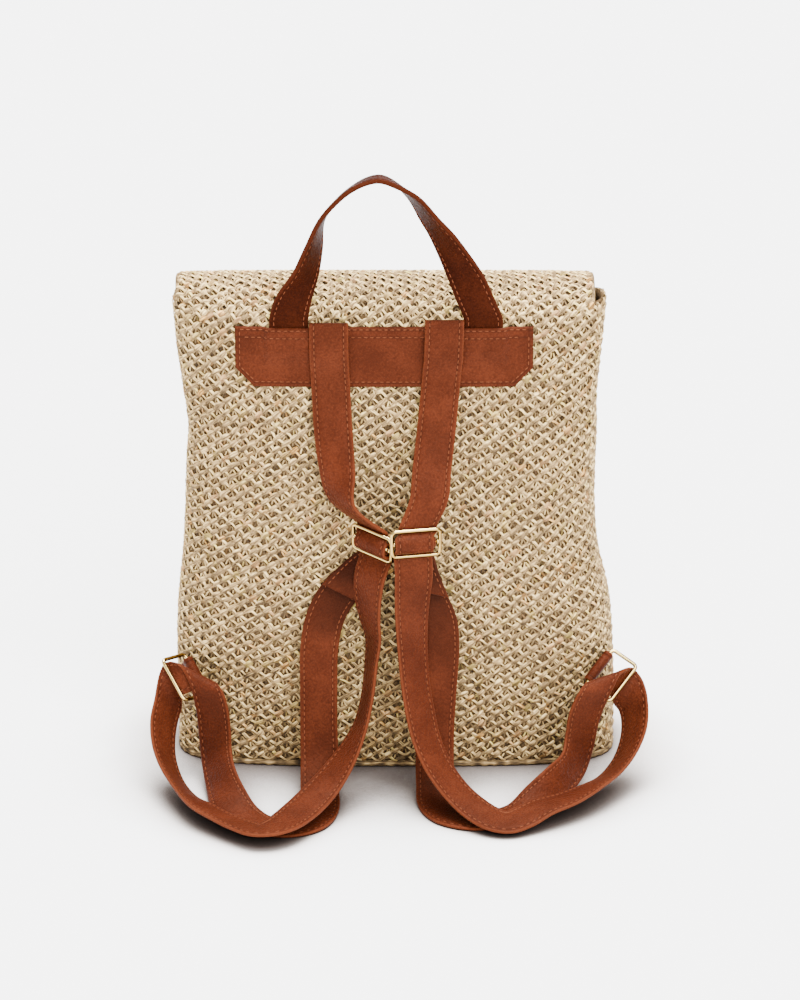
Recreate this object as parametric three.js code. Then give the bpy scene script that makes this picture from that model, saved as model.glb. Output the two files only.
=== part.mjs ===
// Woven straw backpack with a fold-over flap, a leather yoke, a carry handle and two looped straps.
// Millimetres, +Z up. The origin is the middle of the flat base; -Y is the strap side, +Y the flap side.
import * as THREE from 'three';

// Straw bag
const baseHalfWidth = 146;
const baseHalfDepth = 54;
const seamHeight = 313;
const rimDrop = 14;
const crestRise = 10.5;
const ridgeDrop = 13;
const frontRimHeight = seamHeight - rimDrop;
const crestHeight = seamHeight + crestRise;
const ridgeStart = seamHeight - ridgeDrop;
const strawWall = 2.4;
const baseRoll = 2.5;

// Flap
const flapDrop = 205;
const flapCornerRadius = 42;
const flapLeftShare = 0.99;
const flapRightShare = 0.945;

// Leather
const strapWidth = 25;
const strapThickness = 2.2;
const bandThickness = 2;
const tabThickness = 1.8;
const tabWidth = 24;
const bandDrop = 13;
const bandTop = seamHeight - bandDrop;
const bandHeight = 39;
const bandLeft = -103.5;
const bandRight = 87;
const bandChamfer = 12;
const sewnDepth = 14;

// Metal
const wire = 2.2;
const sideRoom = 2;
const sliderPitch = 8.9;
const ringPitch = 20;

// Clearance between pieces that touch, and where leather lies on the curved straw
const fit = 0.3;
const seat = 0.5;

const straw = new THREE.MeshStandardMaterial({ color: 0xd3bf9c, roughness: 0.9, metalness: 0 });
const flapStraw = new THREE.MeshStandardMaterial({ color: 0xdccbab, roughness: 0.9, metalness: 0 });
const leather = new THREE.MeshStandardMaterial({ color: 0x8e4526, roughness: 0.55, metalness: 0 });
const gold = new THREE.MeshStandardMaterial({ color: 0xe3cf98, roughness: 0.25, metalness: 1 });

const bag = new THREE.Group();

function addPiece(name, geometry, material) {
  const mesh = new THREE.Mesh(geometry, material);
  mesh.name = name;
  bag.add(mesh);
}

// Joins rings of points into one closed skin. All rings have as many points, and both ends are capped.
function closedSkin(rings) {
  const count = rings[0].length;
  const positions = [];
  const faces = [];
  for (const ring of rings) {
    for (const point of ring) {
      positions.push(point.x, point.y, point.z);
    }
  }
  for (let row = 0; row + 1 < rings.length; row += 1) {
    for (let i = 0; i < count; i += 1) {
      const next = (i + 1) % count;
      const a = row * count + i;
      const b = row * count + next;
      const c = a + count;
      const d = b + count;
      faces.push(a, b, d, a, d, c);
    }
  }
  const last = (rings.length - 1) * count;
  capRing(faces, 0, count, true);
  capRing(faces, last, count, false);
  const geometry = new THREE.BufferGeometry();
  geometry.setAttribute('position', new THREE.Float32BufferAttribute(positions, 3));
  geometry.setIndex(signedVolume(positions, faces) < 0 ? faces.reverse() : faces);
  return geometry;
}

function signedVolume(positions, faces) {
  const corner = (index) => new THREE.Vector3().fromArray(positions, index * 3);
  let total = 0;
  for (let i = 0; i < faces.length; i += 3) {
    total += corner(faces[i]).dot(corner(faces[i + 1]).cross(corner(faces[i + 2])));
  }
  return total;
}

// Closes one ring with a zigzag of triangles between its two long sides.
function capRing(faces, start, count, flipped) {
  let low = 0;
  let high = count - 1;
  let takeLow = true;
  while (high - low > 1) {
    const middle = takeLow ? low + 1 : high - 1;
    if (flipped) {
      faces.push(start + low, start + high, start + middle);
    } else {
      faces.push(start + low, start + middle, start + high);
    }
    if (takeLow) {
      low = middle;
    } else {
      high = middle;
    }
    takeLow = !takeLow;
  }
}

// Smooth value of a table column at a height, by monotone steps between its rows.
function tableValue(table, key, at) {
  let index = 0;
  while (index + 2 < table.length && at > table[index + 1].at) {
    index += 1;
  }
  const low = table[index];
  const high = table[index + 1];
  const share = THREE.MathUtils.clamp((at - low.at) / (high.at - low.at), 0, 1);
  const before = table[Math.max(index - 1, 0)];
  const after = table[Math.min(index + 2, table.length - 1)];
  const span = high.at - low.at;
  const slopeLow = span * (high[key] - before[key]) / (high.at - before.at);
  const slopeHigh = span * (after[key] - low[key]) / (after.at - low.at);
  const s2 = share * share;
  const s3 = s2 * share;
  return (2 * s3 - 3 * s2 + 1) * low[key] + (s3 - 2 * s2 + share) * slopeLow
    + (3 * s2 - 2 * s3) * high[key] + (s3 - s2) * slopeHigh;
}

// Sections of the bag. at: share of the seam height. left and right: shares of the half width at the base.
// back and front: shares of the half depth at the base. corner: how square the section is.
const sections = [
  { at: 0.00, left: 1.000, right: 0.990, back: 0.960, front: 0.980, corner: 3.7 },
  { at: 0.10, left: 0.996, right: 0.990, back: 1.020, front: 1.060, corner: 3.7 },
  { at: 0.24, left: 0.998, right: 0.978, back: 1.040, front: 1.090, corner: 3.6 },
  { at: 0.34, left: 0.988, right: 0.958, back: 1.020, front: 1.070, corner: 3.6 },
  { at: 0.44, left: 0.964, right: 0.906, back: 0.975, front: 1.020, corner: 3.6 },
  { at: 0.55, left: 0.948, right: 0.884, back: 0.920, front: 0.950, corner: 3.7 },
  { at: 0.66, left: 0.937, right: 0.884, back: 0.855, front: 0.870, corner: 3.9 },
  { at: 0.72, left: 0.926, right: 0.886, back: 0.815, front: 0.820, corner: 4.1 },
  { at: 0.80, left: 0.944, right: 0.884, back: 0.760, front: 0.745, corner: 4.4 },
  { at: 0.90, left: 0.970, right: 0.902, back: 0.695, front: 0.650, corner: 4.9 },
  { at: 1.00, left: 0.985, right: 0.918, back: 0.660, front: 0.590, corner: 5.2 },
];

// Half sizes of the bag's outside at one height, less an inset. Above ridgeStart the back leans over.
function section(z, inset, side) {
  const at = z / seamHeight;
  const left = baseHalfWidth * tableValue(sections, 'left', at) - inset;
  const right = baseHalfWidth * tableValue(sections, 'right', at) - inset;
  let depth = baseHalfDepth * tableValue(sections, side, at);
  if (z > ridgeStart) {
    const rise = (z - ridgeStart) / (crestHeight - ridgeStart);
    const start = baseHalfDepth * tableValue(sections, side, ridgeStart / seamHeight);
    depth = start * Math.sqrt(Math.max(1 - rise * rise, 0));
  }
  return { left, right, depth: depth - inset, corner: tableValue(sections, 'corner', at) };
}

// Distance of the outside from the middle plane at a place x of the section.
function depthAt(size, x) {
  const half = x < 0 ? size.left : size.right;
  const share = Math.min(Math.abs(x) / half, 1);
  return size.depth * (1 - share ** size.corner) ** (1 / size.corner);
}

// Place on the strap side at x and z, a distance outside the straw.
function backPlace(x, z, lift) {
  const size = section(z, -lift, 'back');
  return -depthAt(size, x);
}

const roundSteps = 52;
const rimTurn = 0.2;

function sectionPoint(angle, z, inset) {
  const c = Math.cos(angle);
  const s = Math.sin(angle);
  const size = section(z, inset, s < 0 ? 'back' : 'front');
  const half = c < 0 ? size.left : size.right;
  const power = 2 / size.corner;
  const x = Math.sign(c) * half * Math.abs(c) ** power;
  const y = Math.sign(s) * size.depth * Math.abs(s) ** power;
  return new THREE.Vector3(x, y, z);
}

// The rim is level along the back and falls towards the front, where the flap covers it.
function rimHeight(angle) {
  const turn = THREE.MathUtils.clamp((Math.sin(angle) + rimTurn) / (1 + rimTurn), 0, 1);
  return seamHeight - (seamHeight - frontRimHeight) * turn * turn * (3 - 2 * turn);
}

// Rows up the bag. at: share of the rim height. inset: how far the base roll and its seam groove step in.
function bagRows() {
  const rows = [];
  const roll = baseRoll / seamHeight;
  rows.push({ at: 0, inset: baseRoll });
  rows.push({ at: roll * 0.5, inset: baseRoll * 0.3 });
  rows.push({ at: roll, inset: baseRoll * 0.1 });
  rows.push({ at: roll * 1.8, inset: baseRoll * 0.7 });
  rows.push({ at: roll * 2.8, inset: baseRoll * 0.1 });
  const wallRows = 13;
  const first = 0.05;
  for (let i = 0; i <= wallRows; i += 1) {
    rows.push({ at: first + (1 - first) * i / wallRows, inset: 0 });
  }
  return rows;
}

function bagBody() {
  const rings = [];
  const rows = bagRows();
  for (const row of rows) {
    rings.push(bodyRing(row.at, row.inset));
  }
  const floor = strawWall / seamHeight;
  for (const row of rows.slice().reverse()) {
    if (row.at > floor * 2.5) {
      rings.push(bodyRing(row.at, row.inset + strawWall));
    }
  }
  rings.push(bodyRing(floor * 2, baseRoll * 2 + strawWall));
  rings.push(bodyRing(floor, baseRoll * 4 + strawWall));
  return closedSkin(rings);
}

function bodyRing(at, inset) {
  const ring = [];
  for (let i = 0; i < roundSteps; i += 1) {
    const angle = 2 * Math.PI * (i + 0.5) / roundSteps;
    ring.push(sectionPoint(angle, at * rimHeight(angle), inset));
  }
  return ring;
}

addPiece('bag_body', bagBody(), straw);

// Flap: rises from the back seam, turns over the crest and hangs outside the front of the bag.
const flapColumns = 22;
const flapBackRows = 4;
const flapTurnRows = 5;
const flapFrontRows = 10;
const flapPuff = 1.5;

function flapEdges(z) {
  const size = section(z, 0, 'front');
  return { left: -size.left * flapLeftShare, right: size.right * flapRightShare };
}

function hemHeight(across, width) {
  const fromEdge = Math.min(across, 1 - across) * width;
  const inset = Math.max(flapCornerRadius - fromEdge, 0);
  const curve = flapCornerRadius - Math.sqrt(flapCornerRadius ** 2 - inset ** 2);
  return seamHeight - flapDrop + curve;
}

function flapPoint(row, across, inset) {
  const frontLift = strawWall + fit * 2 + flapPuff;
  let z = 0;
  let y = 0;
  let edges = null;
  if (row <= flapBackRows) {
    const turn = row / flapBackRows;
    const start = Math.asin((seamHeight + fit - ridgeStart) / (crestHeight - ridgeStart));
    const angle = start + (Math.PI / 2 - start) * turn;
    z = ridgeStart + (crestHeight - ridgeStart) * Math.sin(angle) - inset * Math.sin(angle) * turn;
    edges = flapEdges(Math.min(z, seamHeight));
    const x = THREE.MathUtils.lerp(edges.left, edges.right, across);
    const size = section(z, 0, 'back');
    y = -depthAt(size, x) + inset * Math.cos(angle);
    return new THREE.Vector3(x, y, z);
  }
  if (row <= flapBackRows + flapTurnRows) {
    const turn = (row - flapBackRows) / flapTurnRows;
    const angle = Math.PI / 2 * (1 - turn);
    z = ridgeStart + (crestHeight - ridgeStart - inset) * Math.sin(angle);
    edges = flapEdges(Math.min(z, seamHeight));
    const x = THREE.MathUtils.lerp(edges.left, edges.right, across);
    const size = section(ridgeStart, inset - frontLift, 'front');
    y = depthAt(size, x) * Math.cos(angle);
    return new THREE.Vector3(x, y, z);
  }
  const drop = (row - flapBackRows - flapTurnRows) / flapFrontRows;
  edges = flapEdges(ridgeStart);
  const low = hemHeight(across, edges.right - edges.left);
  z = THREE.MathUtils.lerp(ridgeStart, low, drop);
  edges = flapEdges(z);
  const x = THREE.MathUtils.lerp(edges.left, edges.right, across);
  y = depthAt(section(z, inset - frontLift, 'front'), x);
  return new THREE.Vector3(x, y, z);
}

function flap() {
  const rings = [];
  const rows = flapBackRows + flapTurnRows + flapFrontRows;
  for (let row = 0; row <= rows; row += 1) {
    const ring = [];
    for (let i = 0; i <= flapColumns; i += 1) {
      ring.push(flapPoint(row, i / flapColumns, 0));
    }
    for (let i = flapColumns; i >= 0; i -= 1) {
      ring.push(flapPoint(row, i / flapColumns, strawWall));
    }
    rings.push(ring);
  }
  return closedSkin(rings);
}

addPiece('flap', flap(), flapStraw);

// Leather yoke band with its lower corners cut off. It swells where the handle's legs go in under it.
const bandLift = seat;
const bandBump = strapThickness + seat;
const handleLegs = [-69, 55];
const bumpEdge = 3;
const bandRows = 6;

function bandColumns() {
  const columns = new Set([bandLeft, bandLeft + bandChamfer, bandRight - bandChamfer, bandRight]);
  for (const leg of handleLegs) {
    for (const side of [-1, 1]) {
      columns.add(leg + side * (strapWidth / 2 + fit * 2));
      columns.add(leg + side * (strapWidth / 2 + fit * 2 + bumpEdge));
    }
  }
  const plainColumns = 14;
  for (let i = 1; i < plainColumns; i += 1) {
    columns.add(bandLeft + (bandRight - bandLeft) * i / plainColumns);
  }
  const sorted = [...columns].sort((a, b) => a - b);
  return sorted.filter((x, i) => i === 0 || x - sorted[i - 1] > 1);
}

function bumpAt(x, z) {
  let bump = 0;
  for (const leg of handleLegs) {
    const beyond = Math.abs(x - leg) - strapWidth / 2 - fit * 2;
    bump = Math.max(bump, THREE.MathUtils.clamp(1 - beyond / bumpEdge, 0, 1));
  }
  const below = bandTop - sewnDepth - fit * 2 - z;
  return bandBump * bump * THREE.MathUtils.clamp(1 - below / bumpEdge, 0, 1);
}

function bandFace(x, thickness) {
  const fromEnd = Math.min(x - bandLeft, bandRight - x);
  const low = bandTop - bandHeight + Math.max(bandChamfer - fromEnd, 0);
  const levels = [0];
  const pocket = (bandTop - sewnDepth - fit * 2 - low) / (bandTop - low);
  const slope = (bandTop - sewnDepth - fit * 2 - bumpEdge - low) / (bandTop - low);
  levels.push(slope / 2, slope, pocket, (1 + pocket) / 2, 1);
  return levels.map((share) => {
    const z = low + (bandTop - low) * share;
    return new THREE.Vector3(x, backPlace(x, z, bandLift + bumpAt(x, z) + thickness), z);
  });
}

function yokeBand() {
  const rings = [];
  for (const x of bandColumns()) {
    const outer = bandFace(x, bandThickness);
    const inner = bandFace(x, 0).reverse();
    rings.push([...outer, ...inner]);
  }
  return closedSkin(rings);
}

addPiece('yoke_band', yokeBand(), leather);

// A flat strap along stations. Each station has a centre and the direction across the strap.
function strapSkin(stations, width, thickness) {
  const bevel = thickness * 0.3;
  const halfWidth = width / 2;
  const halfThick = thickness / 2;
  const outline = [
    [-halfWidth, -halfThick + bevel], [-halfWidth + bevel, -halfThick],
    [halfWidth - bevel, -halfThick], [halfWidth, -halfThick + bevel],
    [halfWidth, halfThick - bevel], [halfWidth - bevel, halfThick],
    [-halfWidth + bevel, halfThick], [-halfWidth, halfThick - bevel],
  ];
  const rings = stations.map((station, i) => {
    const before = stations[Math.max(i - 1, 0)].centre;
    const after = stations[Math.min(i + 1, stations.length - 1)].centre;
    const along = after.clone().sub(before).normalize();
    const face = along.cross(station.across).normalize();
    return outline.map(([w, t]) => (
      station.centre.clone().addScaledVector(station.across, w).addScaledVector(face, t)
    ));
  });
  return closedSkin(rings);
}

function direction(turn, lean) {
  const t = THREE.MathUtils.degToRad(turn);
  const l = THREE.MathUtils.degToRad(lean);
  return new THREE.Vector3(Math.cos(l) * Math.cos(t), Math.cos(l) * Math.sin(t), Math.sin(l));
}

// Smooth stations through rows. A row says how many steps lead to the next one.
function smoothStations(rows) {
  const stations = [];
  for (let i = 0; i + 1 < rows.length; i += 1) {
    const quad = [rows[Math.max(i - 1, 0)], rows[i], rows[i + 1], rows[Math.min(i + 2, rows.length - 1)]];
    for (let k = 0; k < rows[i].steps; k += 1) {
      stations.push(stationBetween(quad, k / rows[i].steps));
    }
  }
  const end = rows[rows.length - 1];
  stations.push({ centre: end.centre.clone(), across: end.across.clone() });
  return stations;
}

function stationBetween(quad, share) {
  const knots = [0];
  for (let i = 1; i < 4; i += 1) {
    const gap = Math.max(quad[i].centre.distanceTo(quad[i - 1].centre), 1e-6);
    knots.push(knots[i - 1] + Math.sqrt(gap));
  }
  const t = knots[1] + (knots[2] - knots[1]) * share;
  const centre = knotBlend(quad.map((row) => row.centre), knots, t);
  const across = knotBlend(quad.map((row) => row.across), knots, t).normalize();
  return { centre, across };
}

// Centripetal curve through four knots.
function knotBlend(values, knots, t) {
  let level = values.map((value) => value.clone());
  for (let depth = 1; depth < 4; depth += 1) {
    const next = [];
    for (let i = 0; i + 1 < level.length; i += 1) {
      const [a, b] = blendEnds(depth, i);
      const w = (t - knots[a]) / (knots[b] - knots[a]);
      next.push(level[i].clone().lerp(level[i + 1], w));
    }
    level = next;
  }
  return level[0];
}

function blendEnds(depth, i) {
  if (depth === 1) {
    return [i, i + 1];
  }
  if (depth === 2) {
    return [i, i + 2];
  }
  return [1, 2];
}

// How far the strap loops reach forward, and the height of the buckles that their rows follow.
const loopReach = 180;
const buckleHeight = 165;

// Rows of a strap that hangs or lies free. x: share of the half width, y: share of the reach, z: share of the
// buckle height. turn and lean: degrees of the direction from the strap's outer edge to its inner edge.
function freeRows(table) {
  return table.map(([x, y, z, turn, lean, steps]) => ({
    centre: new THREE.Vector3(x * baseHalfWidth, y * loopReach, z * buckleHeight),
    across: direction(turn, lean),
    steps,
  }));
}

// Rows of a strap's upper run. The first ones lie on the band, and the last hangs clear of the bag.
// x: share of the half width, down: share of the way from band top to buckle, off: share of the reach.
function upperRows(side) {
  const rows = [];
  const lift = bandLift + bandThickness + fit + strapThickness / 2;
  for (const { x, down, off } of side.upper) {
    const z = THREE.MathUtils.lerp(bandTop, buckleHeight, down);
    const y = backPlace(x * baseHalfWidth, z, 0) - lift - off * loopReach;
    const centre = new THREE.Vector3(x * baseHalfWidth, y, z);
    rows.push({ centre, across: side.upperAcross.clone(), steps: 2 });
  }
  return rows;
}

// Distances of a strap's middle from a bar that it passes or wraps.
const quarter = Math.PI / 2;
const layer = strapThickness + fit;
const wrapRadius = wire / 2 + seat + strapThickness / 2;
const passRadius = wrapRadius + layer;

// The strap passes behind the buckle's top bar, over the wrapped middle bar and behind the bottom bar.
function bucklePass(frame, across) {
  const cross = Math.asin((passRadius + wrapRadius) / sliderPitch);
  const rows = [];
  const arc = (height, radius, from, to, steps) => {
    rows.push(...arcRows(frame, across, height, radius, from, to, steps));
  };
  arc(sliderPitch, wrapRadius, topLean - quarter, -quarter - cross, 3);
  arc(0, passRadius, quarter - cross, quarter + cross, 5);
  arc(-sliderPitch, wrapRadius, cross - quarter, -quarter - baseLean, 4);
  rows[rows.length - 1].steps = 3;
  return rows;
}

// The strap's far end comes up behind, wraps the middle bar and is sewn down on itself as a short tail.
function buckleEnd(frame, across, run) {
  const rows = [];
  const arc = (height, radius, from, to, steps) => {
    rows.push(...arcRows(frame, across, height, radius, from, to, steps));
  };
  const rise = Math.asin(2 * layer / sliderPitch);
  const cross = Math.asin((passRadius + wrapRadius) / sliderPitch);
  arc(-sliderPitch, wrapRadius + 2 * layer, -quarter - baseLean, rise - quarter, 3);
  arc(0, wrapRadius, rise - quarter, quarter + cross, 9);
  arc(-sliderPitch, passRadius, cross - quarter, -quarter - baseLean, 4);
  rows[rows.length - 1].steps = 3;
  const ends = [...run.slice(-tailRows - 1), rows[0]];
  for (let i = tailRows; i > 0; i -= 1) {
    const face = ends[i + 1].centre.clone().sub(ends[i - 1].centre).cross(ends[i].across).normalize();
    const lift = face.dot(frame.out) < 0 ? -tailLift : tailLift;
    const centre = ends[i].centre.clone().addScaledVector(face, lift);
    rows.push({ centre, across: ends[i].across.clone(), steps: 2 });
  }
  return rows;
}

function arcRows(frame, across, height, radius, from, to, steps) {
  const rows = [];
  for (let i = 0; i <= steps; i += 1) {
    const angle = THREE.MathUtils.lerp(from, to, i / steps);
    rows.push(frameRow(frame, height + radius * Math.cos(angle), radius * Math.sin(angle), across));
  }
  return rows;
}

function frameRow(frame, up, out, across) {
  const centre = frame.centre.clone().addScaledVector(frame.up, up).addScaledVector(frame.out, out);
  return { centre, across: across.clone(), steps: 1 };
}

// A frame with its bar along one direction, its up as near as can be to another, and out square to both.
function barFrame(centre, along, up) {
  const bar = along.clone().normalize();
  const square = up.clone().addScaledVector(bar, -up.dot(bar)).normalize();
  return { centre, along: bar, up: square, out: bar.clone().cross(square) };
}

// The strap bends round the ring's free bar on the bag's side of it.
function ringBend(ring, across) {
  const { apex, through } = bendFrame(ring);
  const rows = [];
  const steps = 2;
  for (let i = 0; i <= steps; i += 1) {
    const angle = THREE.MathUtils.degToRad(THREE.MathUtils.lerp(-ringWrap, ringWrap, i / steps));
    rows.push({
      centre: ring.bar.clone()
        .addScaledVector(ring.along, -ringShift)
        .addScaledVector(apex, wrapRadius * Math.cos(angle))
        .addScaledVector(through, wrapRadius * Math.sin(angle)),
      across: across.clone(),
      steps: i < steps ? 1 : 4,
    });
  }
  return rows;
}

function bendFrame(ring) {
  const towardBag = new THREE.Vector3(0, 1, 0);
  const apex = towardBag.addScaledVector(ring.along, -ring.along.y).normalize();
  const through = ring.along.clone().cross(apex);
  if (through.z < 0) {
    through.negate();
  }
  return { apex, through };
}

const topLean = 0.5;
const baseLean = 0.35;
const tailRows = 2;
const tailLift = layer + seat;
const ringWrap = 12;
const ringShift = 1.2;

// Left and right straps. The strap runs from the band through the buckle to the floor, out and up to the ring,
// back down, in under itself, and up to the buckle's middle bar.
const sides = {
  left: {
    upperAcross: new THREE.Vector3(-1, 0, 0),
    upper: [
      { x: -0.298, down: -0.030, off: 0.0156 }, { x: -0.297, down: 0.133, off: 0.0156 },
      { x: -0.294, down: 0.207, off: 0.0022 }, { x: -0.290, down: 0.289, off: 0.0022 },
      { x: -0.278, down: 0.474, off: 0.028 }, { x: -0.258, down: 0.652, off: 0.067 },
      { x: -0.232, down: 0.800, off: 0.094 },
    ],
    buckle: barFrame(
      new THREE.Vector3(-0.637 * strapWidth, -0.392 * loopReach, 1.0 * buckleHeight),
      new THREE.Vector3(0.79, -0.61, 0.05),
      new THREE.Vector3(-0.2, -0.05, 1),
    ),
    acrossSign: -1,
    front: freeRows([
      [-0.120, -0.405, 0.868, 141, 0, 2], [-0.130, -0.412, 0.775, 133, -3, 2], [-0.121, -0.424, 0.692, 122, -8, 2],
      [-0.106, -0.421, 0.612, 113, -12, 2], [-0.114, -0.430, 0.520, 108, -14, 2], [-0.131, -0.472, 0.394, 107, -16, 2],
      [-0.160, -0.522, 0.297, 110, -16, 2], [-0.212, -0.578, 0.212, 120, -10, 2], [-0.275, -0.640, 0.145, 131, -2, 2],
      [-0.356, -0.728, 0.091, 142, 3, 2], [-0.445, -0.840, 0.066, 148, 2, 2], [-0.508, -0.911, 0.061, 138, -3, 2],
      [-0.560, -0.936, 0.058, 108, -6, 2], [-0.607, -0.936, 0.054, 78, -9, 2], [-0.668, -0.896, 0.050, 56, -12, 2],
      [-0.762, -0.832, 0.054, 51, -17, 2], [-0.856, -0.756, 0.064, 50, -20, 2], [-0.938, -0.650, 0.070, 46, -36, 2],
      [-1.006, -0.545, 0.103, 42, -42, 2], [-1.043, -0.460, 0.160, 42, -41, 2], [-1.048, -0.400, 0.230, 38, -40, 2],
      [-1.030, -0.340, 0.297, 30, -46, 2],
    ]),
    ring: {
      bar: new THREE.Vector3(-1.004 * baseHalfWidth, -0.338 * loopReach, 0.397 * buckleHeight),
      along: new THREE.Vector3(0.48, -0.54, -0.69).normalize(),
      plane: new THREE.Vector3(0.70, 0.72, -0.07),
      tail: new THREE.Vector3(-0.48, 0.52, -0.70),
    },
    back: freeRows([
      [-0.904, -0.335, 0.424, -18, -24, 2], [-0.856, -0.388, 0.394, -28, 0, 2], [-0.828, -0.408, 0.315, -28, 10, 2],
      [-0.816, -0.420, 0.212, -27, 14, 2], [-0.808, -0.447, 0.127, -22, 30, 2], [-0.786, -0.540, 0.078, -3, 42, 2],
      [-0.748, -0.650, 0.046, 17, 28, 2], [-0.685, -0.744, 0.022, 38, 9, 2], [-0.586, -0.814, 0.012, 66, 0, 2],
      [-0.482, -0.838, 0.010, 95, 0, 2], [-0.384, -0.794, 0.010, 135, 0, 2], [-0.340, -0.680, 0.012, 174, 0, 2],
      [-0.344, -0.560, 0.040, 180, 0, 2], [-0.346, -0.480, 0.121, 176, 0, 2], [-0.349, -0.442, 0.245, 168, 0, 2],
      [-0.349, -0.415, 0.394, 168, 0, 2], [-0.346, -0.375, 0.552, 174, 4, 2], [-0.318, -0.336, 0.670, 174, 14, 2],
      [-0.250, -0.322, 0.775, 170, 24, 2], [-0.150, -0.328, 0.870, 152, 14, 2],
    ]),
  },
  right: {
    upperAcross: new THREE.Vector3(1, 0, 0),
    upper: [
      { x: 0.208, down: -0.044, off: 0.0183 }, { x: 0.203, down: 0.133, off: 0.0172 },
      { x: 0.197, down: 0.207, off: 0.0022 }, { x: 0.190, down: 0.289, off: 0.0022 },
      { x: 0.174, down: 0.467, off: 0.033 }, { x: 0.155, down: 0.637, off: 0.089 },
      { x: 0.134, down: 0.770, off: 0.139 },
    ],
    buckle: barFrame(
      new THREE.Vector3(0.485 * strapWidth, -0.456 * loopReach, 1.027 * buckleHeight),
      new THREE.Vector3(0.98, 0.17, 0.02),
      new THREE.Vector3(0, -0.05, 1),
    ),
    acrossSign: 1,
    front: freeRows([
      [0.074, -0.456, 0.890, 12, 0, 2], [0.068, -0.454, 0.800, 24, -4, 2], [0.065, -0.456, 0.715, 32, -7, 2],
      [0.068, -0.472, 0.600, 39, -10, 2], [0.082, -0.517, 0.460, 42, -11, 2], [0.102, -0.561, 0.364, 42, -9, 2],
      [0.131, -0.611, 0.270, 46, -5, 2], [0.182, -0.661, 0.182, 53, 0, 2], [0.267, -0.722, 0.100, 55, 1, 2],
      [0.360, -0.789, 0.055, 52, 3, 2], [0.435, -0.833, 0.040, 64, 6, 2], [0.490, -0.838, 0.037, 95, 8, 2],
      [0.553, -0.811, 0.044, 115, 5, 2], [0.637, -0.767, 0.064, 122, -1, 2], [0.747, -0.705, 0.068, 127, -9, 2],
      [0.856, -0.622, 0.076, 130, -20, 2], [0.955, -0.522, 0.085, 131, -29, 2], [1.027, -0.440, 0.133, 130, -30, 2],
      [1.066, -0.368, 0.206, 134, -27, 2], [1.062, -0.318, 0.285, 148, -32, 2],
    ]),
    ring: {
      bar: new THREE.Vector3(1.018 * baseHalfWidth, -0.306 * loopReach, 0.366 * buckleHeight),
      along: new THREE.Vector3(-0.60, -0.535, -0.593).normalize(),
      plane: new THREE.Vector3(-0.80, 0.414, 0.435),
      tail: new THREE.Vector3(0.02, 0.74, -0.68),
    },
    back: freeRows([
      [0.930, -0.345, 0.412, 200, -10, 2], [0.885, -0.394, 0.375, 206, 8, 2], [0.838, -0.414, 0.279, 208, 20, 2],
      [0.816, -0.430, 0.176, 208, 30, 2], [0.788, -0.480, 0.108, 205, 48, 2], [0.719, -0.578, 0.082, 180, 58, 2],
      [0.637, -0.672, 0.052, 150, 38, 2], [0.545, -0.744, 0.024, 128, 10, 2], [0.452, -0.762, 0.012, 108, 2, 2],
      [0.340, -0.780, 0.010, 85, 0, 2], [0.232, -0.740, 0.010, 45, 0, 2], [0.176, -0.640, 0.012, 8, 0, 2],
      [0.170, -0.540, 0.045, 0, 0, 2], [0.168, -0.478, 0.121, 0, 0, 2], [0.170, -0.447, 0.245, 2, 0, 2],
      [0.180, -0.425, 0.394, 4, 0, 2], [0.192, -0.400, 0.552, 6, 2, 2], [0.182, -0.387, 0.690, 8, -8, 2],
      [0.140, -0.388, 0.805, 9, -16, 2], [0.100, -0.397, 0.890, 9, -8, 2],
    ]),
  },
};

function strapStations(side) {
  const across = side.buckle.along.clone().multiplyScalar(side.acrossSign);
  return smoothStations([
    ...upperRows(side),
    ...bucklePass(side.buckle, across),
    ...side.front,
    ...ringBend(side.ring, side.ring.along),
    ...side.back,
    ...buckleEnd(side.buckle, across, side.back),
  ]);
}

// Flat metal frame with rounded corners and openings, in the plane of its bars.
function metalFrame(halfWidth, halfHeight, openings, place) {
  const bevel = wire * 0.25;
  const shape = new THREE.Shape();
  roundedBox(shape, halfWidth, -halfHeight, halfHeight, frameCorner);
  for (const opening of openings) {
    const hole = new THREE.Path();
    roundedBox(hole, halfWidth - wire, opening.low, opening.high, frameCorner / 3);
    shape.holes.push(hole);
  }
  const geometry = new THREE.ExtrudeGeometry(shape, {
    depth: wire - bevel * 2,
    bevelThickness: bevel,
    bevelSize: bevel,
    bevelOffset: -bevel,
    bevelSegments: 1,
    curveSegments: 3,
  });
  geometry.translate(0, 0, bevel - wire / 2);
  const matrix = new THREE.Matrix4().makeBasis(place.along, place.up, place.out);
  matrix.setPosition(place.centre);
  return geometry.applyMatrix4(matrix);
}

function roundedBox(path, halfWidth, low, high, radius) {
  path.moveTo(halfWidth, low + radius);
  path.absarc(halfWidth - radius, high - radius, radius, 0, quarter, false);
  path.absarc(radius - halfWidth, high - radius, radius, quarter, 2 * quarter, false);
  path.absarc(radius - halfWidth, low + radius, radius, 2 * quarter, 3 * quarter, false);
  path.absarc(halfWidth - radius, low + radius, radius, 3 * quarter, 4 * quarter, false);
}

const frameCorner = 2.4;

function slider(side) {
  const halfWidth = strapWidth / 2 + sideRoom + wire;
  const slot = { low: wire / 2, high: sliderPitch - wire / 2 };
  const openings = [slot, { low: -slot.high, high: -slot.low }];
  return metalFrame(halfWidth, sliderPitch + wire / 2, openings, side.buckle);
}

function strapRing(side) {
  const { bar, along, plane } = side.ring;
  const place = barFrame(bar, along, plane);
  place.centre = bar.clone().addScaledVector(place.up, ringPitch / 2);
  const halfWidth = strapWidth / 2 + sideRoom + wire;
  const opening = { low: wire / 2 - ringPitch / 2, high: ringPitch / 2 - wire / 2 };
  return metalFrame(halfWidth, (ringPitch + wire) / 2, [opening], place);
}

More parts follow.
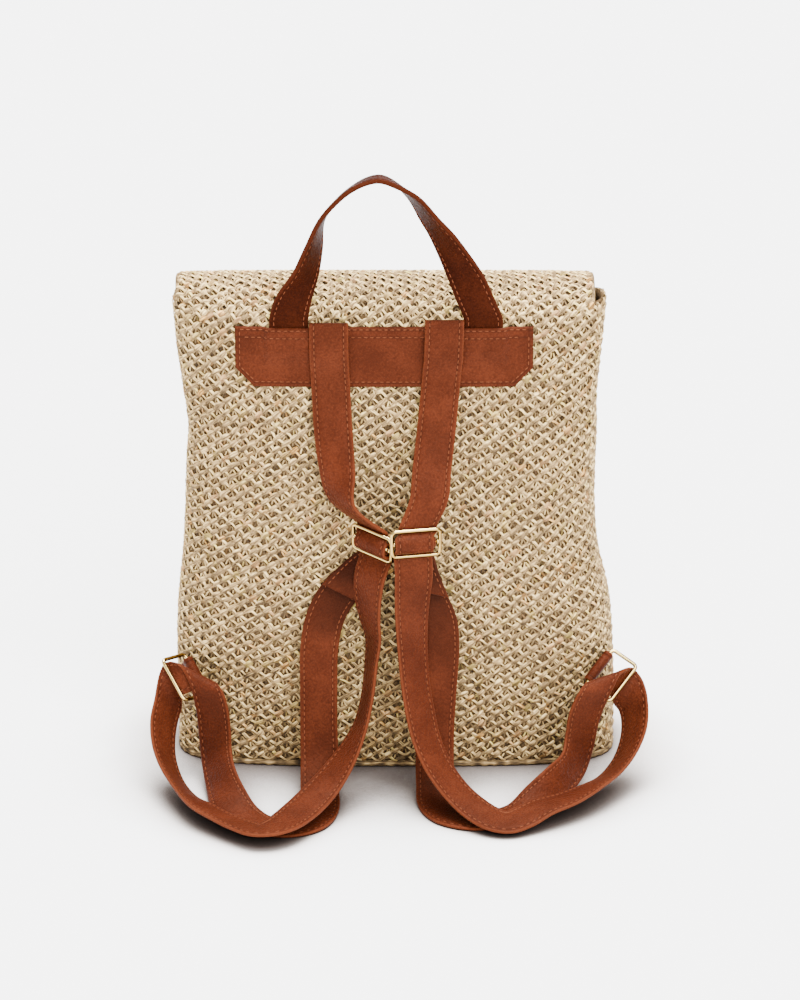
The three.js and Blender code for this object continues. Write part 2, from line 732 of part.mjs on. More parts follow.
// Tab that folds round the ring's inner bar, with its two ends laid together on the bag's side.
function ringTab(side) {
  const { bar, along, plane, tail } = side.ring;
  const place = barFrame(bar, along, plane);
  const middle = bar.clone().addScaledVector(place.up, ringPitch);
  const fold = barFrame(middle, along, tail);
  const radius = wire / 2 + seat + tabThickness / 2;
  const closed = (fit + tabThickness) / 2;
  const rows = [];
  const add = (up, out) => rows.push(frameRow(fold, up, out, along));
  add(tabTail, closed);
  add(radius * tabNeck, closed);
  const steps = 8;
  for (let i = 0; i <= steps; i += 1) {
    const angle = THREE.MathUtils.lerp(quarter * tabOpen, quarter * (4 - tabOpen), i / steps);
    add(radius * Math.cos(angle), radius * Math.sin(angle));
  }
  add(radius * tabNeck, -closed);
  add(tabTail, -closed);
  return strapSkin(rows, tabWidth, tabThickness);
}

// The tab's flat end beyond the bar, where it closes in, and where its bend starts as a share of a right angle
const tabTail = 8;
const tabNeck = 1.6;
const tabOpen = 0.72;

for (const [name, side] of Object.entries(sides)) {
  addPiece('shoulder_strap_' + name, strapSkin(strapStations(side), strapWidth, strapThickness), leather);
  addPiece('slider_' + name, slider(side), gold);
  addPiece('strap_ring_' + name, strapRing(side), gold);
  addPiece('ring_tab_' + name, ringTab(side), leather);
}

// Carry handle. Its two legs go in behind the yoke band and stand up off the back seam to a leaning arch.
// x: share of the half width, y: share of the half depth, z: share of the handle's rise above the band.
const handleRise = 96;
const handleArch = [
  [-0.449, -0.750, 0.208, 21, -4, 2], [-0.395, -0.760, 0.385, 50, -8, 2], [-0.363, -0.760, 0.542, 65, -10, 2],
  [-0.325, -0.740, 0.740, 86, -12, 2], [-0.264, -0.722, 0.854, 90, -13, 2], [-0.199, -0.704, 0.938, 90, -11, 2],
  [-0.130, -0.667, 0.990, 90, -8, 2], [-0.072, -0.630, 1.000, 90, -7, 2], [-0.003, -0.630, 0.958, 95, -8, 2],
  [0.072, -0.648, 0.875, 105, -12, 2], [0.144, -0.685, 0.729, 118, -12, 2], [0.192, -0.704, 0.635, 127, -12, 2],
  [0.250, -0.722, 0.490, 142, -10, 2], [0.298, -0.740, 0.354, 160, -6, 2], [0.342, -0.750, 0.193, 174, -2, 2],
];

function handleLeg(x, across) {
  const lift = seat + strapThickness / 2;
  const rows = [sewnDepth, sewnDepth / 2, 0, -5].map((depth) => {
    const z = bandTop - depth;
    return { centre: new THREE.Vector3(x, backPlace(x, z, lift), z), across: across.clone(), steps: 1 };
  });
  return rows;
}

function carryHandle() {
  const [left, right] = handleLegs;
  const arch = handleArch.map(([x, y, z, turn, lean, steps]) => ({
    centre: new THREE.Vector3(x * baseHalfWidth, y * baseHalfDepth, bandTop + z * handleRise),
    across: direction(turn, lean),
    steps,
  }));
  const rows = [
    ...handleLeg(left, new THREE.Vector3(1, 0, 0)),
    ...arch,
    ...handleLeg(right, new THREE.Vector3(-1, 0, 0)).reverse(),
  ];
  return strapSkin(smoothStations(rows), strapWidth, strapThickness);
}

addPiece('carry_handle', carryHandle(), leather);

export default bag;
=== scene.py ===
import math

import bpy
import numpy as np
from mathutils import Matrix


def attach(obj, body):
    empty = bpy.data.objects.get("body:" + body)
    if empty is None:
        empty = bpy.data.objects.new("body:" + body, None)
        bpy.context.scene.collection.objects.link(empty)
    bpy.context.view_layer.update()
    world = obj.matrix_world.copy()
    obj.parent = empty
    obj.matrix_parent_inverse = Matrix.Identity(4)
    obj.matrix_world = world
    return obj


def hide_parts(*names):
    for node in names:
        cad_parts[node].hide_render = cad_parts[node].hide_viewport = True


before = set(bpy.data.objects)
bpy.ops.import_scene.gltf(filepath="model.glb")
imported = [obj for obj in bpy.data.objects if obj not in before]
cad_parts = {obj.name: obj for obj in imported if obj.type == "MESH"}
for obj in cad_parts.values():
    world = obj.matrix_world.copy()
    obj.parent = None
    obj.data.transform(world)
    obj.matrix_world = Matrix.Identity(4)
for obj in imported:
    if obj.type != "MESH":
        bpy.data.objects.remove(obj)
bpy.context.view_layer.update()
print("stage: frame loaded")

mm = 0.001
rng = np.random.default_rng(7)

# Bag outline in millimetres, with the CAD's sizes
bagSizes = {
    "baseHalfWidth": 146.0,
    "baseHalfDepth": 54.0,
    "seamHeight": 313.0,
    "frontRim": 299.0,
    "crest": 323.5,
    "ridgeStart": 300.0,
    "wall": 2.4,
    "joinHeight": 305.0,
    "flapDrop": 205.0,
    "flapCorner": 42.0,
    "flapLeft": 0.99,
    "flapRight": 0.945,
    "flapLift": 4.5,
}

# Columns: share of the seam height, then left, right, back and front as shares of the base sizes, then
# how square the section is
sections = np.array([
    (0.00, 1.000, 0.990, 0.960, 0.980, 3.7),
    (0.10, 0.996, 0.990, 1.020, 1.060, 3.7),
    (0.24, 0.998, 0.978, 1.040, 1.090, 3.6),
    (0.34, 0.988, 0.958, 1.020, 1.070, 3.6),
    (0.44, 0.964, 0.906, 0.975, 1.020, 3.6),
    (0.55, 0.948, 0.884, 0.920, 0.950, 3.7),
    (0.66, 0.937, 0.884, 0.855, 0.870, 3.9),
    (0.72, 0.926, 0.886, 0.815, 0.820, 4.1),
    (0.80, 0.944, 0.884, 0.760, 0.745, 4.4),
    (0.90, 0.970, 0.902, 0.695, 0.650, 4.9),
    (1.00, 0.985, 0.918, 0.660, 0.590, 5.2),
])


def sectionValue(column, at):
    at = np.asarray(at, float)
    places, values = sections[:, 0], sections[:, column]
    low = np.clip(np.searchsorted(places, at, side="left") - 1, 0, len(places) - 2)
    high = low + 1
    before = np.maximum(low - 1, 0)
    after = np.minimum(low + 2, len(places) - 1)
    span = places[high] - places[low]
    share = np.clip((at - places[low]) / span, 0, 1)
    slopeLow = span * (values[high] - values[before]) / (places[high] - places[before])
    slopeHigh = span * (values[after] - values[low]) / (places[after] - places[low])
    s2, s3 = share ** 2, share ** 3
    start = (2 * s3 - 3 * s2 + 1) * values[low] + (s3 - 2 * s2 + share) * slopeLow
    return start + (3 * s2 - 2 * s3) * values[high] + (s3 - s2) * slopeHigh


def section(z, lift, front):
    b = bagSizes
    at = z / b["seamHeight"]
    left = b["baseHalfWidth"] * sectionValue(1, at) + lift
    right = b["baseHalfWidth"] * sectionValue(2, at) + lift
    top = b["ridgeStart"] / b["seamHeight"]
    depth, start = (b["baseHalfDepth"] * np.where(front, sectionValue(4, share), sectionValue(3, share))
                    for share in (at, top))
    rise = np.clip((z - b["ridgeStart"]) / (b["crest"] - b["ridgeStart"]), 0, 1)
    depth = np.where(z > b["ridgeStart"], start * np.sqrt(1 - rise ** 2), depth)
    return left, right, depth + lift, sectionValue(5, at)


def depthAt(x, z, lift, front):
    left, right, depth, corner = section(z, lift, front)
    share = np.minimum(np.abs(x) / np.where(x < 0, left, right), 1)
    return depth * (1 - share ** corner) ** (1 / corner)


def backPlace(x, z, lift):
    return -float(depthAt(np.float64(x), np.float64(z), lift, False))


def rimHeight(angle):
    b = bagSizes
    turn = np.clip((np.sin(angle) + 0.2) / 1.2, 0, 1)
    return b["seamHeight"] - (b["seamHeight"] - b["frontRim"]) * turn ** 2 * (3 - 2 * turn)


def ringPoints(angle, z, lift):
    front = np.sin(angle) > 0
    left, right, depth, corner = section(z, lift, front)
    power = 2 / corner
    x = np.sign(np.cos(angle)) * np.where(np.cos(angle) < 0, left, right) * np.abs(np.cos(angle)) ** power
    y = np.sign(np.sin(angle)) * depth * np.abs(np.sin(angle)) ** power
    return np.stack([x, y, z + 0 * x], -1)


def pathLength(points):
    return np.concatenate([[0], np.cumsum(np.linalg.norm(np.diff(points, axis=0), axis=1))])


def sample(places, length, points):
    return np.stack([np.interp(places, length, column) for column in points.T], -1)


def unitRows(vectors):
    return vectors / np.maximum(np.linalg.norm(vectors, axis=-1, keepdims=True), 1e-9)


# A sheet is a grid of points with even steps in millimetres: u around or across, v up or along
def makeSheet(grid, uStart, uEnd, vStart, vEnd):
    normal = unitRows(np.cross(np.gradient(grid, axis=1), np.gradient(grid, axis=0)))
    return {"grid": grid, "normal": normal, "u": (uStart, uEnd), "v": (vStart, vEnd)}


def sheetPlace(sheet, u, v, lift):
    grid = sheet["grid"]

    def cell(value, ends, count):
        full = np.clip((value - ends[0]) / (ends[1] - ends[0]), 0, 1) * (count - 1)
        low = np.minimum(full.astype(int), count - 2)
        return low, (full - low)[..., None]

    iu, su = cell(u, sheet["u"], grid.shape[1])
    iv, sv = cell(v, sheet["v"], grid.shape[0])

    def blend(table):
        low = table[iv, iu] * (1 - su) + table[iv, iu + 1] * su
        high = table[iv + 1, iu] * (1 - su) + table[iv + 1, iu + 1] * su
        return low * (1 - sv) + high * sv

    return blend(grid) + unitRows(blend(sheet["normal"])) * np.asarray(lift)[..., None]


def bodySheet():
    angles = -math.pi / 2 + np.linspace(-math.pi, math.pi, 1801)
    heights = np.linspace(0, bagSizes["seamHeight"], 160)
    steps = np.linspace(0, 1, 601)
    rows = []
    for z in heights:
        ring = ringPoints(angles, np.full(angles.shape, z), 0)
        length = pathLength(ring)
        middle = length[len(length) // 2]
        half = len(steps) // 2
        places = np.concatenate([
            np.linspace(0, middle, half + 1)[:-1], np.linspace(middle, length[-1], half + 1)])
        rows.append(sample(places, length, ring))
    perimeter = length[-1]
    return makeSheet(np.array(rows), -perimeter / 2, perimeter / 2, 0, bagSizes["seamHeight"]), perimeter


def flapEdges(z):
    b = bagSizes
    left, right, _, _ = section(np.minimum(z, b["seamHeight"]), 0, True)
    return -left * b["flapLeft"], right * b["flapRight"]


def flapSheet():
    b = bagSizes
    across = np.linspace(0, 1, 121)
    rise = b["crest"] - b["ridgeStart"]
    start = math.asin((b["joinHeight"] - b["ridgeStart"]) / rise)
    base = np.full(across.shape, b["ridgeStart"])
    rows = []

    def addRow(z, depthFrom, lift, front, share):
        left, right = flapEdges(z)
        x = left + (right - left) * across
        rows.append(np.stack([x, share * depthAt(x, depthFrom, lift, front), z], -1))

    for turn in np.linspace(0, 1, 30)[:-1]:
        z = base + rise * math.sin(start + (math.pi / 2 - start) * turn)
        addRow(z, z, 0, False, -1)
    for turn in np.linspace(0, 1, 30)[:-1]:
        angle = math.pi / 2 * (1 - turn)
        addRow(base + rise * math.sin(angle), base, b["flapLift"], True, math.cos(angle))
    left, right = flapEdges(np.float64(b["ridgeStart"]))
    inset = np.maximum(b["flapCorner"] - np.minimum(across, 1 - across) * (right - left), 0)
    low = b["seamHeight"] - b["flapDrop"] + b["flapCorner"] - np.sqrt(b["flapCorner"] ** 2 - inset ** 2)
    for drop in np.linspace(0, 1, 120):
        z = b["ridgeStart"] + (low - b["ridgeStart"]) * drop
        addRow(z, z, b["flapLift"], True, 1)
    points = np.array(rows)
    length = pathLength(points[:, 60])
    even = np.linspace(0, length[-1], 200)
    grid = np.stack([sample(even, length, points[:, i]) for i in range(across.size)], 1)
    return makeSheet(grid, float(left), float(right), b["joinHeight"], b["joinHeight"] + length[-1])


def addObject(name, data):
    made = bpy.data.objects.new(name, data)
    bpy.context.scene.collection.objects.link(made)
    return made


# Mesh from points in millimetres. Extra values are stored per point.
def makeMesh(name, points, faces, material, replaces, values=None, maps=None):
    points = np.asarray(points, float).reshape(-1, 3)
    mesh = bpy.data.meshes.new(name)
    mesh.from_pydata((points * mm).tolist(), [], faces if isinstance(faces, list) else faces.tolist())
    for key, value in (values or {}).items():
        layer = mesh.attributes.new(key, "FLOAT", "POINT")
        layer.data.foreach_set("value", np.asarray(value, np.float32).ravel())
    if maps is not None:
        corner = np.empty(len(mesh.loops), np.int32)
        mesh.loops.foreach_get("vertex_index", corner)
        layer = mesh.uv_layers.new(name="strand")
        layer.data.foreach_set("uv", np.asarray(maps, np.float32)[corner].ravel())
    mesh.polygons.foreach_set("use_smooth", [True] * len(mesh.polygons))
    mesh.materials.append(material)
    mesh.update()
    piece = addObject(name, mesh)
    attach(piece, "root")
    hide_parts(replaces)


def gridFaces(rows, columns, wrap=False):
    r = np.arange(rows - 1)[:, None]
    c = np.arange(columns if wrap else columns - 1)[None, :]
    n = (c + 1) % columns
    quads = np.stack([r * columns + c, r * columns + n, (r + 1) * columns + n, (r + 1) * columns + c], -1)
    return quads.reshape(-1, 4)


# Faces of a tube of rows, with both ends capped
def skinFaces(rows, columns):
    last = (rows - 1) * columns
    caps = [list(range(columns))[::-1], list(range(last, last + columns))]
    return gridFaces(rows, columns, True).tolist() + caps


# Sets a node's inputs by name or number, each to a value or to a link from another node's output
def setInputs(tree, node, inputs):
    for key, value in inputs.items():
        if isinstance(value, bpy.types.NodeSocket):
            tree.links.new(value, node.inputs[key])
        else:
            node.inputs[key].default_value = value


def addNode(tree, kind, inputs=None, **settings):
    node = tree.nodes.new(kind)
    for key, value in settings.items():
        setattr(node, key, value)
    setInputs(tree, node, inputs or {})
    return node.outputs


def rampColor(tree, fac, stops):
    ramp = tree.nodes.new("ShaderNodeValToRGB")
    elements = ramp.color_ramp.elements
    while len(elements) < len(stops):
        elements.new(0.5)
    for element, (place, color) in zip(elements, stops):
        element.position = place
        element.color = (*color, 1)
    tree.links.new(fac, ramp.inputs["Fac"])
    return ramp.outputs["Color"]


def pointValue(tree, name):
    return addNode(tree, "ShaderNodeAttribute", attribute_name=name)["Fac"]


def combine(tree, operation, *values):
    return addNode(tree, "ShaderNodeMath", dict(enumerate(values)), operation=operation)["Value"]


def mixColor(tree, factor, a, b, blend="MIX"):
    return addNode(tree, "ShaderNodeMix", {"Factor": factor, "A": a, "B": b}, data_type="RGBA",
                   blend_type=blend)["Result"]


def bumpNormal(tree, strength, distance, height):
    inputs = {"Strength": strength, "Distance": distance * mm, "Height": height}
    return addNode(tree, "ShaderNodeBump", inputs)["Normal"]


def newMaterial(name):
    material = bpy.data.materials.new(name)
    material.use_nodes = True
    return material, material.node_tree


def setShader(tree, inputs):
    setInputs(tree, tree.nodes["Principled BSDF"], inputs)


def newGroup(name, inputs, outputs):
    group = bpy.data.node_groups.new(name, "ShaderNodeTree")
    for labels, way in ((inputs, "INPUT"), (outputs, "OUTPUT")):
        for label in labels:
            group.interface.new_socket(label, in_out=way, socket_type="NodeSocketFloat")
    return group


# Fine lines along a strand, from the strand's own map
def fibreGroup():
    group = newGroup("strandFibre", ("Fineness", "Length"), ("Lines",))
    given = addNode(group, "NodeGroupInput")
    strand = addNode(group, "ShaderNodeUVMap", uv_map="strand")
    scale = addNode(group, "ShaderNodeCombineXYZ", {"X": given["Fineness"], "Y": given["Length"]})
    spread = addNode(group, "ShaderNodeVectorMath", {0: strand["UV"], 1: scale["Vector"]},
                     operation="MULTIPLY")
    noise = addNode(group, "ShaderNodeTexNoise", {"Vector": spread["Vector"], "Scale": 1, "Detail": 3})
    addNode(group, "NodeGroupOutput", {"Lines": noise["Fac"]})
    return group


# Small rounded pebbles and pores of leather, and broad patches of colour
def grainGroup():
    group = newGroup("leatherGrain", ("Pebbles", "Creases"), ("Height", "Patches"))
    given = addNode(group, "NodeGroupInput")
    place = addNode(group, "ShaderNodeTexCoord")["Object"]
    cells = addNode(group, "ShaderNodeTexVoronoi", {"Vector": place, "Scale": given["Pebbles"]},
                    feature="SMOOTH_F1")
    folds = addNode(group, "ShaderNodeTexNoise", {"Vector": place, "Scale": given["Creases"], "Detail": 4})
    both = combine(group, "ADD", cells["Distance"], folds["Fac"])
    patches = addNode(group, "ShaderNodeTexNoise",
                      {"Vector": place, "Scale": 45, "Detail": 7, "Roughness": 0.56})
    speckle = combine(group, "MULTIPLY_ADD", cells["Distance"], -0.55, patches["Fac"])
    addNode(group, "NodeGroupOutput", {"Height": both, "Patches": combine(group, "ADD", speckle, 0.22)})
    return group


fibre = fibreGroup()
grain = grainGroup()

# Straw: five tones from shade to highlight, and how much the fine lines show
strawLook = {
    "tones": [(0.030, 0.018, 0.009), (0.085, 0.053, 0.024), (0.205, 0.131, 0.057), (0.430, 0.280, 0.115),
              (0.880, 0.630, 0.270)],
    "tints": [(0.0, (1, 1, 1)), (0.86, (1, 1, 1)), (0.90, (0.93, 1.0, 0.66)), (0.95, (1, 0.87, 0.87)),
              (1.0, (1.0, 0.80, 0.50))],
    "fineness": 1.35,
    "lineLength": 0.12,
    "lineTone": 1.9,
    "fibreBump": 1.0,
    "roughness": 0.75,
    "specular": 0.15,
}


def strawMaterial(name, look):
    material, tree = newMaterial(name)
    lines = addNode(tree, "ShaderNodeGroup", {"Fineness": look["fineness"], "Length": look["lineLength"]},
                    node_tree=fibre)["Lines"]
    centred = combine(tree, "SUBTRACT", lines, 0.5)
    mixed = combine(tree, "MULTIPLY_ADD", centred, look["lineTone"], pointValue(tree, "tone"))
    tone = rampColor(tree, mixed, [(0.25 * i, color) for i, color in enumerate(look["tones"])])
    tint = rampColor(tree, pointValue(tree, "hue"), look["tints"])
    setShader(tree, {
        "Base Color": mixColor(tree, 1, tone, tint, "MULTIPLY"), "Roughness": look["roughness"],
        "Specular IOR Level": look["specular"], "Normal": bumpNormal(tree, look["fibreBump"], 0.4, lines)})
    return material


# Leather: face colours that vary in patches, edge colour as painted highlight on the rounded edges, groove colour
# as painted shade in grooves, folds and leather that lies in shade, sheen of the face
leatherLook = {
    "dark": (0.040, 0.0078, 0.0030),
    "face": (0.053, 0.0107, 0.0041),
    "light": (0.071, 0.0149, 0.0057),
    "edge": (0.105, 0.0240, 0.0085),
    "groove": (0.016, 0.0034, 0.0016),
    "pebbles": 850,
    "creases": 260,
    "roughness": 0.5,
    "bend": 1.14,
    "sheenTint": (1.0, 0.70, 0.50),
    "grainBump": 1.0,
}
# The handle is the same leather, painted darker as painted shade, since it lies in shade
handleShadeLook = dict(leatherLook, dark=(0.016, 0.0030, 0.0012), face=(0.023, 0.0043, 0.0016),
                  light=(0.032, 0.0062, 0.0023), edge=(0.046, 0.0096, 0.0036), bend=1.08)


def leatherMaterial(name, look):
    material, tree = newMaterial(name)
    skin = addNode(tree, "ShaderNodeGroup", {"Pebbles": look["pebbles"], "Creases": look["creases"]},
                   node_tree=grain)
    face = rampColor(tree, skin["Patches"], [(0.3, look["dark"]), (0.5, look["face"]), (0.7, look["light"])])
    # Painted light: the edge mark mixes in a lighter colour as painted highlight, the groove mark a dark colour as
    # painted shade
    edged = mixColor(tree, pointValue(tree, "edge"), face, (*look["edge"], 1))
    color = mixColor(tree, pointValue(tree, "groove"), edged, (*look["groove"], 1))
    setShader(tree, {
        "Base Color": color, "Roughness": look["roughness"], "IOR": look["bend"],
        "Specular Tint": (*look["sheenTint"], 1),
        "Normal": bumpNormal(tree, look["grainBump"], 0.5, skin["Height"])})
    return material


# A colour that varies a little in small spots
def spottedMaterial(name, look):
    material, tree = newMaterial(name)
    place = addNode(tree, "ShaderNodeTexCoord")["Object"]
    spots = addNode(tree, "ShaderNodeTexNoise", {"Vector": place, "Scale": look["spots"]})["Fac"]
    dark, light = (tuple(share * v for v in look["color"]) for share in look["shares"])
    setShader(tree, {
        "Base Color": rampColor(tree, spots, [(0.35, dark), (0.65, light)]),
        "Roughness": look["roughness"], "Specular IOR Level": look["specular"]})
    return material


# The straw behind the strands, painted dark between them as painted shade, and the thread of the stitches
backingShadeLook = {"color": (0.040, 0.024, 0.011), "shares": (0.6, 2.6), "spots": 600, "roughness": 0.95,
               "specular": 0.05}
threadLook = {"color": (0.125, 0.033, 0.012), "shares": (0.86, 1), "spots": 3000, "roughness": 0.75,
              "specular": 0.1}

# Gold with painted reflection: darker on the sides of the wire that face the bag and the floor, lighter on the
# sides that face up and to the front
goldLook = {
    "tones": [(0.35, (0.09, 0.044, 0.010)), (0.62, (0.22, 0.125, 0.032)), (0.84, (0.50, 0.33, 0.095)),
              (1.0, (0.82, 0.62, 0.25))],
    "roughness": 0.16,
    "gleamFrom": (-0.45, -0.55, 0.70),
}


def goldMaterial(name, look):
    material, tree = newMaterial(name)
    setShader(tree, {
        "Base Color": rampColor(tree, pointValue(tree, "gleam"), look["tones"]),
        "Roughness": look["roughness"], "Metallic": 1})
    return material


straw = strawMaterial("straw strands", strawLook)
# The backing's dark colour is painted shade in the gaps between the strands
backing = spottedMaterial("straw backing in painted shade", backingShadeLook)
leather = leatherMaterial("tan leather", leatherLook)
shadedHandleLeather = leatherMaterial("handle leather in painted shade", handleShadeLook)
thread = spottedMaterial("stitch thread", threadLook)
gold = goldMaterial("pale gold", goldLook)
print("stage: materials")

# Weave: pitch of the lattice, widths of the strands and their jitter, in millimetres. Paths give lifts and
# widths along a strand, the widths as shares. The last two are shares of the way round.
weaveSizes = {
    "columnPitch": 10.6,
    "rowPitch": 3.84,
    "jitter": 0.55,
    "rising": 4.0,
    "risingPath": [(-0.7, 0.7), (0.45, 1.0), (0.9, 1.05), (0.7, 0.95), (-0.55, 0.6)],
    "strokeReach": (2.15, 1.9),
    "falling": 1.6,
    "fallingPath": [(0.5, 0.8), (1.05, 1.0), (0.8, 1.0), (0.1, 0.9)],
    "under": 3.4,
    "underPath": [(-0.2, 1.0), (-0.35, 0.9), (-0.2, 1.0)],
    "thin": 0.95,
    "thinLifts": (-0.6, -0.1, -0.6),
    "aboveRoll": 5,
    "hiddenAbove": 150,
    "frontFrom": 0.27,
    "hiddenFrom": 0.33,
}

# Tones of the strands, from 0 in the dark to 1, and how much they vary, with painted light: falling strands lighter
# as painted highlight, under strands darker as painted shade in the gaps, straw lighter higher up, shade lighter on
# upper sides
weaveTones = {"straw": 0.51, "rising": 0.02, "falling": 0.24, "under": -0.11, "thin": 0.52, "thinSpread": 0.2,
              "paintedHeightLight": 0.09, "spread": 0.06, "shade": 0.07}

# Rows: place across as a share of the width, height, and how much lighter the straw is painted there
# Painted light: the upper edge and the crest are painted highlight, the lower edge and the middle line painted
# shade
flatStrand = [(-0.5, -0.9, -0.14), (-0.26, 0.15, -0.01), (-0.02, 0.02, -0.15), (0.24, 0.40, 0.06),
              (0.5, -0.6, 0.13)]
thinStrand = [(-0.5, -0.4, -0.08), (0.0, 0.25, 0.06), (0.5, -0.4, 0.02)]


# Many strands of one kind. Each has points along it in u and v, with widths and lifts.
def ribbons(sheet, u, v, width, lift, tone, shape, shade=0.0):
    count, steps = u.shape
    hue = rng.random(count)[:, None, None]
    tone = tone[:, None, None]
    du = np.gradient(u, axis=1)
    dv = np.gradient(v, axis=1)
    size = np.sqrt(du ** 2 + dv ** 2)
    sideU, sideV = -dv / size, du / size
    across, raised, paintedEdgeLight = np.array(shape).T
    pu = u[:, :, None] + sideU[:, :, None] * width[:, :, None] * across
    pv = v[:, :, None] + sideV[:, :, None] * width[:, :, None] * across
    points = sheetPlace(sheet, pu, pv, lift[:, :, None] + raised)
    n = len(shape)
    one = gridFaces(steps, n)[:, ::-1]
    faces = (np.arange(count)[:, None, None] * steps * n + one[None]).reshape(-1, 4)
    travel = np.cumsum(size, axis=1)
    maps = np.stack([
        np.broadcast_to(across * 3 + hue * 97, pu.shape),
        np.broadcast_to(travel[:, :, None] + tone * 61, pu.shape)], -1)
    # Painted light: shade makes each strand lighter on its upper side and darker on its lower side, and the outline
    # adds its painted edge light across it
    tones = tone + shade * np.clip(pv - v.mean(axis=1)[:, None, None], -2.2, 2.2) + paintedEdgeLight
    hues = np.broadcast_to(hue, pu.shape)
    return points.reshape(-1, 3), faces, maps.reshape(-1, 2), tones.ravel(), hues.ravel()


def weave(sheet, columns, pitch, firstRow, lastRow, keep, paintedLight):
    w, tones = weaveSizes, weaveTones
    rowPitch = w["rowPitch"]
    rows = lastRow - firstRow + 2
    shiftU = rng.normal(0, w["jitter"], (rows, columns + 2))
    shiftV = rng.normal(0, w["jitter"] * 0.7, (rows, columns + 2))
    parts = []
    jj, ii = np.meshgrid(np.arange(rows - 1), np.arange(columns), indexing="ij")
    jj, ii = jj.ravel(), ii.ravel()
    odd = (jj + firstRow) % 2

    def place(i, j):
        wrapped = i % (columns + 2)
        u = (i + 0.5 * ((j + firstRow) % 2)) * pitch + sheet["start"] + shiftU[j, wrapped]
        v = (j + firstRow) * rowPitch + shiftV[j, wrapped]
        return u, v

    def lay(u, v, path, width, shape, kind):
        count = u.shape[0]
        lifts, widths = np.array(path).T
        wide = widths * width * (1 + 0.14 * rng.normal(size=(count, 1)))
        lift = lifts + 0.12 * rng.normal(size=(count, 1))
        # Painted light: straw higher on the bag is painted lighter and lower straw darker
        paintedHeightLight = tones["paintedHeightLight"] * (v.mean(axis=1) / bagSizes["seamHeight"] - 0.5)
        tone = tones["straw"] + paintedLight + tones[kind] + paintedHeightLight + tones["spread"] * rng.normal(size=count)
        parts.append(ribbons(sheet, u, v, wide, lift, np.clip(tone, 0.12, 0.95), shape, tones["shade"]))

    def link(iFrom, jFrom, iTo, jTo, bend, kind):
        u0, v0 = place(iFrom, jFrom)
        u1, v1 = place(iTo, jTo)
        ok = keep((u0 + u1) / 2, (v0 + v1) / 2)
        u0, v0, u1, v1 = (x[ok][:, None] for x in (u0, v0, u1, v1))
        path = w[kind + "Path"]
        t = np.linspace(0, 1, len(path))
        wave = bend * np.sin(2 * math.pi * t)
        lay(u0 + (u1 - u0) * (t - wave), v0 + (v1 - v0) * (t + wave), path, w[kind], thinStrand, kind)

    link(ii, jj, ii + odd, jj + 1, 0.0, "under")
    down = jj > 0
    link(ii[down], jj[down], (ii + odd)[down], (jj - 1)[down], -0.05, "falling")

    # Broad rising strokes over the crossings
    u, v = place(ii, jj)
    ok = keep(u, v)
    t = np.array([-1.0, -0.55, 0.0, 0.5, 1.0])
    turn = 1 + 0.1 * rng.normal(size=(int(ok.sum()), 1))
    reachU, reachV = w["strokeReach"]
    lay(u[ok][:, None] + reachU * t * turn + 0.25 * t ** 2, v[ok][:, None] + reachV * t / turn,
        w["risingPath"], w["rising"], flatStrand, "rising")

    # Two thin strands across each gap
    u, v = place(ii[down], jj[down])
    u = u + pitch / 2
    ok = keep(u, v)
    u, v = u[ok], v[ok]
    count = u.size
    t = np.array([-0.62, 0.0, 0.62])
    for slope, offset, level in ((0.5, -0.9, 0.0), (-0.9, 1.0, 0.25)):
        lean = slope + 0.3 * rng.normal(size=(count, 1))
        thinU = u[:, None] + offset + lean * t * 1.6
        thinV = v[:, None] + t * rowPitch * 0.75
        lift = np.array(w["thinLifts"]) + level + 0.1 * rng.normal(size=(count, 1))
        tone = np.clip(tones["thin"] + tones["thinSpread"] * rng.normal(size=count), 0, 1)
        parts.append(ribbons(sheet, thinU, thinV, np.full(thinU.shape, w["thin"]), lift, tone, thinStrand))

    starts = np.cumsum([0] + [len(part[0]) for part in parts])
    points, faces, maps, tone, hue = zip(*parts)
    faces = [some + start for some, start in zip(faces, starts)]
    return [np.concatenate(x) for x in (points, faces, maps, tone, hue)]


def weavePiece(name, sheet, columns, pitch, firstRow, lastRow, keep, replaces, paintedLight=0.0):
    points, faces, maps, tones, hues = weave(sheet, columns, pitch, firstRow, lastRow, keep, paintedLight)
    print("weave", name, len(faces) * 2, "triangles")
    makeMesh(name, points, faces, straw, replaces, {"tone": tones, "hue": hues}, maps)


body, perimeter = bodySheet()
bodyColumns = round(perimeter / weaveSizes["columnPitch"])
bodyPitch = perimeter / bodyColumns
body["start"] = -perimeter / 2
flap = flapSheet()
flapColumns = int((flap["u"][1] - flap["u"][0]) / bodyPitch) + 2
flap["start"] = body["start"] + math.ceil((flap["u"][0] - body["start"]) / bodyPitch - 1) * bodyPitch
topRow = int(bagSizes["joinHeight"] / weaveSizes["rowPitch"])
rimRow = int(bagSizes["seamHeight"] / weaveSizes["rowPitch"]) + 1


def rimAt(u):
    share = np.clip(u / (perimeter / 2), -1, 1)
    return rimHeight(-math.pi / 2 + share * math.pi) - 1.0


# Strands on one part of the body, without those that the flap hides
def keepBody(part):
    w = weaveSizes

    def keep(u, v):
        where = np.where(np.abs(u) > perimeter * w["frontFrom"], "front", np.where(u < 0, "left", "right"))
        hidden = (np.abs(u) > perimeter * w["hiddenFrom"]) & (v > w["hiddenAbove"])
        underFlap = (u > flap["u"][0] + 1) & (u < flap["u"][1] - 1) & (v > bagSizes["joinHeight"] + 1)
        return (v > w["aboveRoll"]) & (v < rimAt(u)) & (where == part) & ~hidden & ~underFlap
    return keep


for part in ("left", "right", "front"):
    weavePiece("straw_" + part + "_weave", body, bodyColumns, bodyPitch, 0, rimRow, keepBody(part),
               "bag_body")


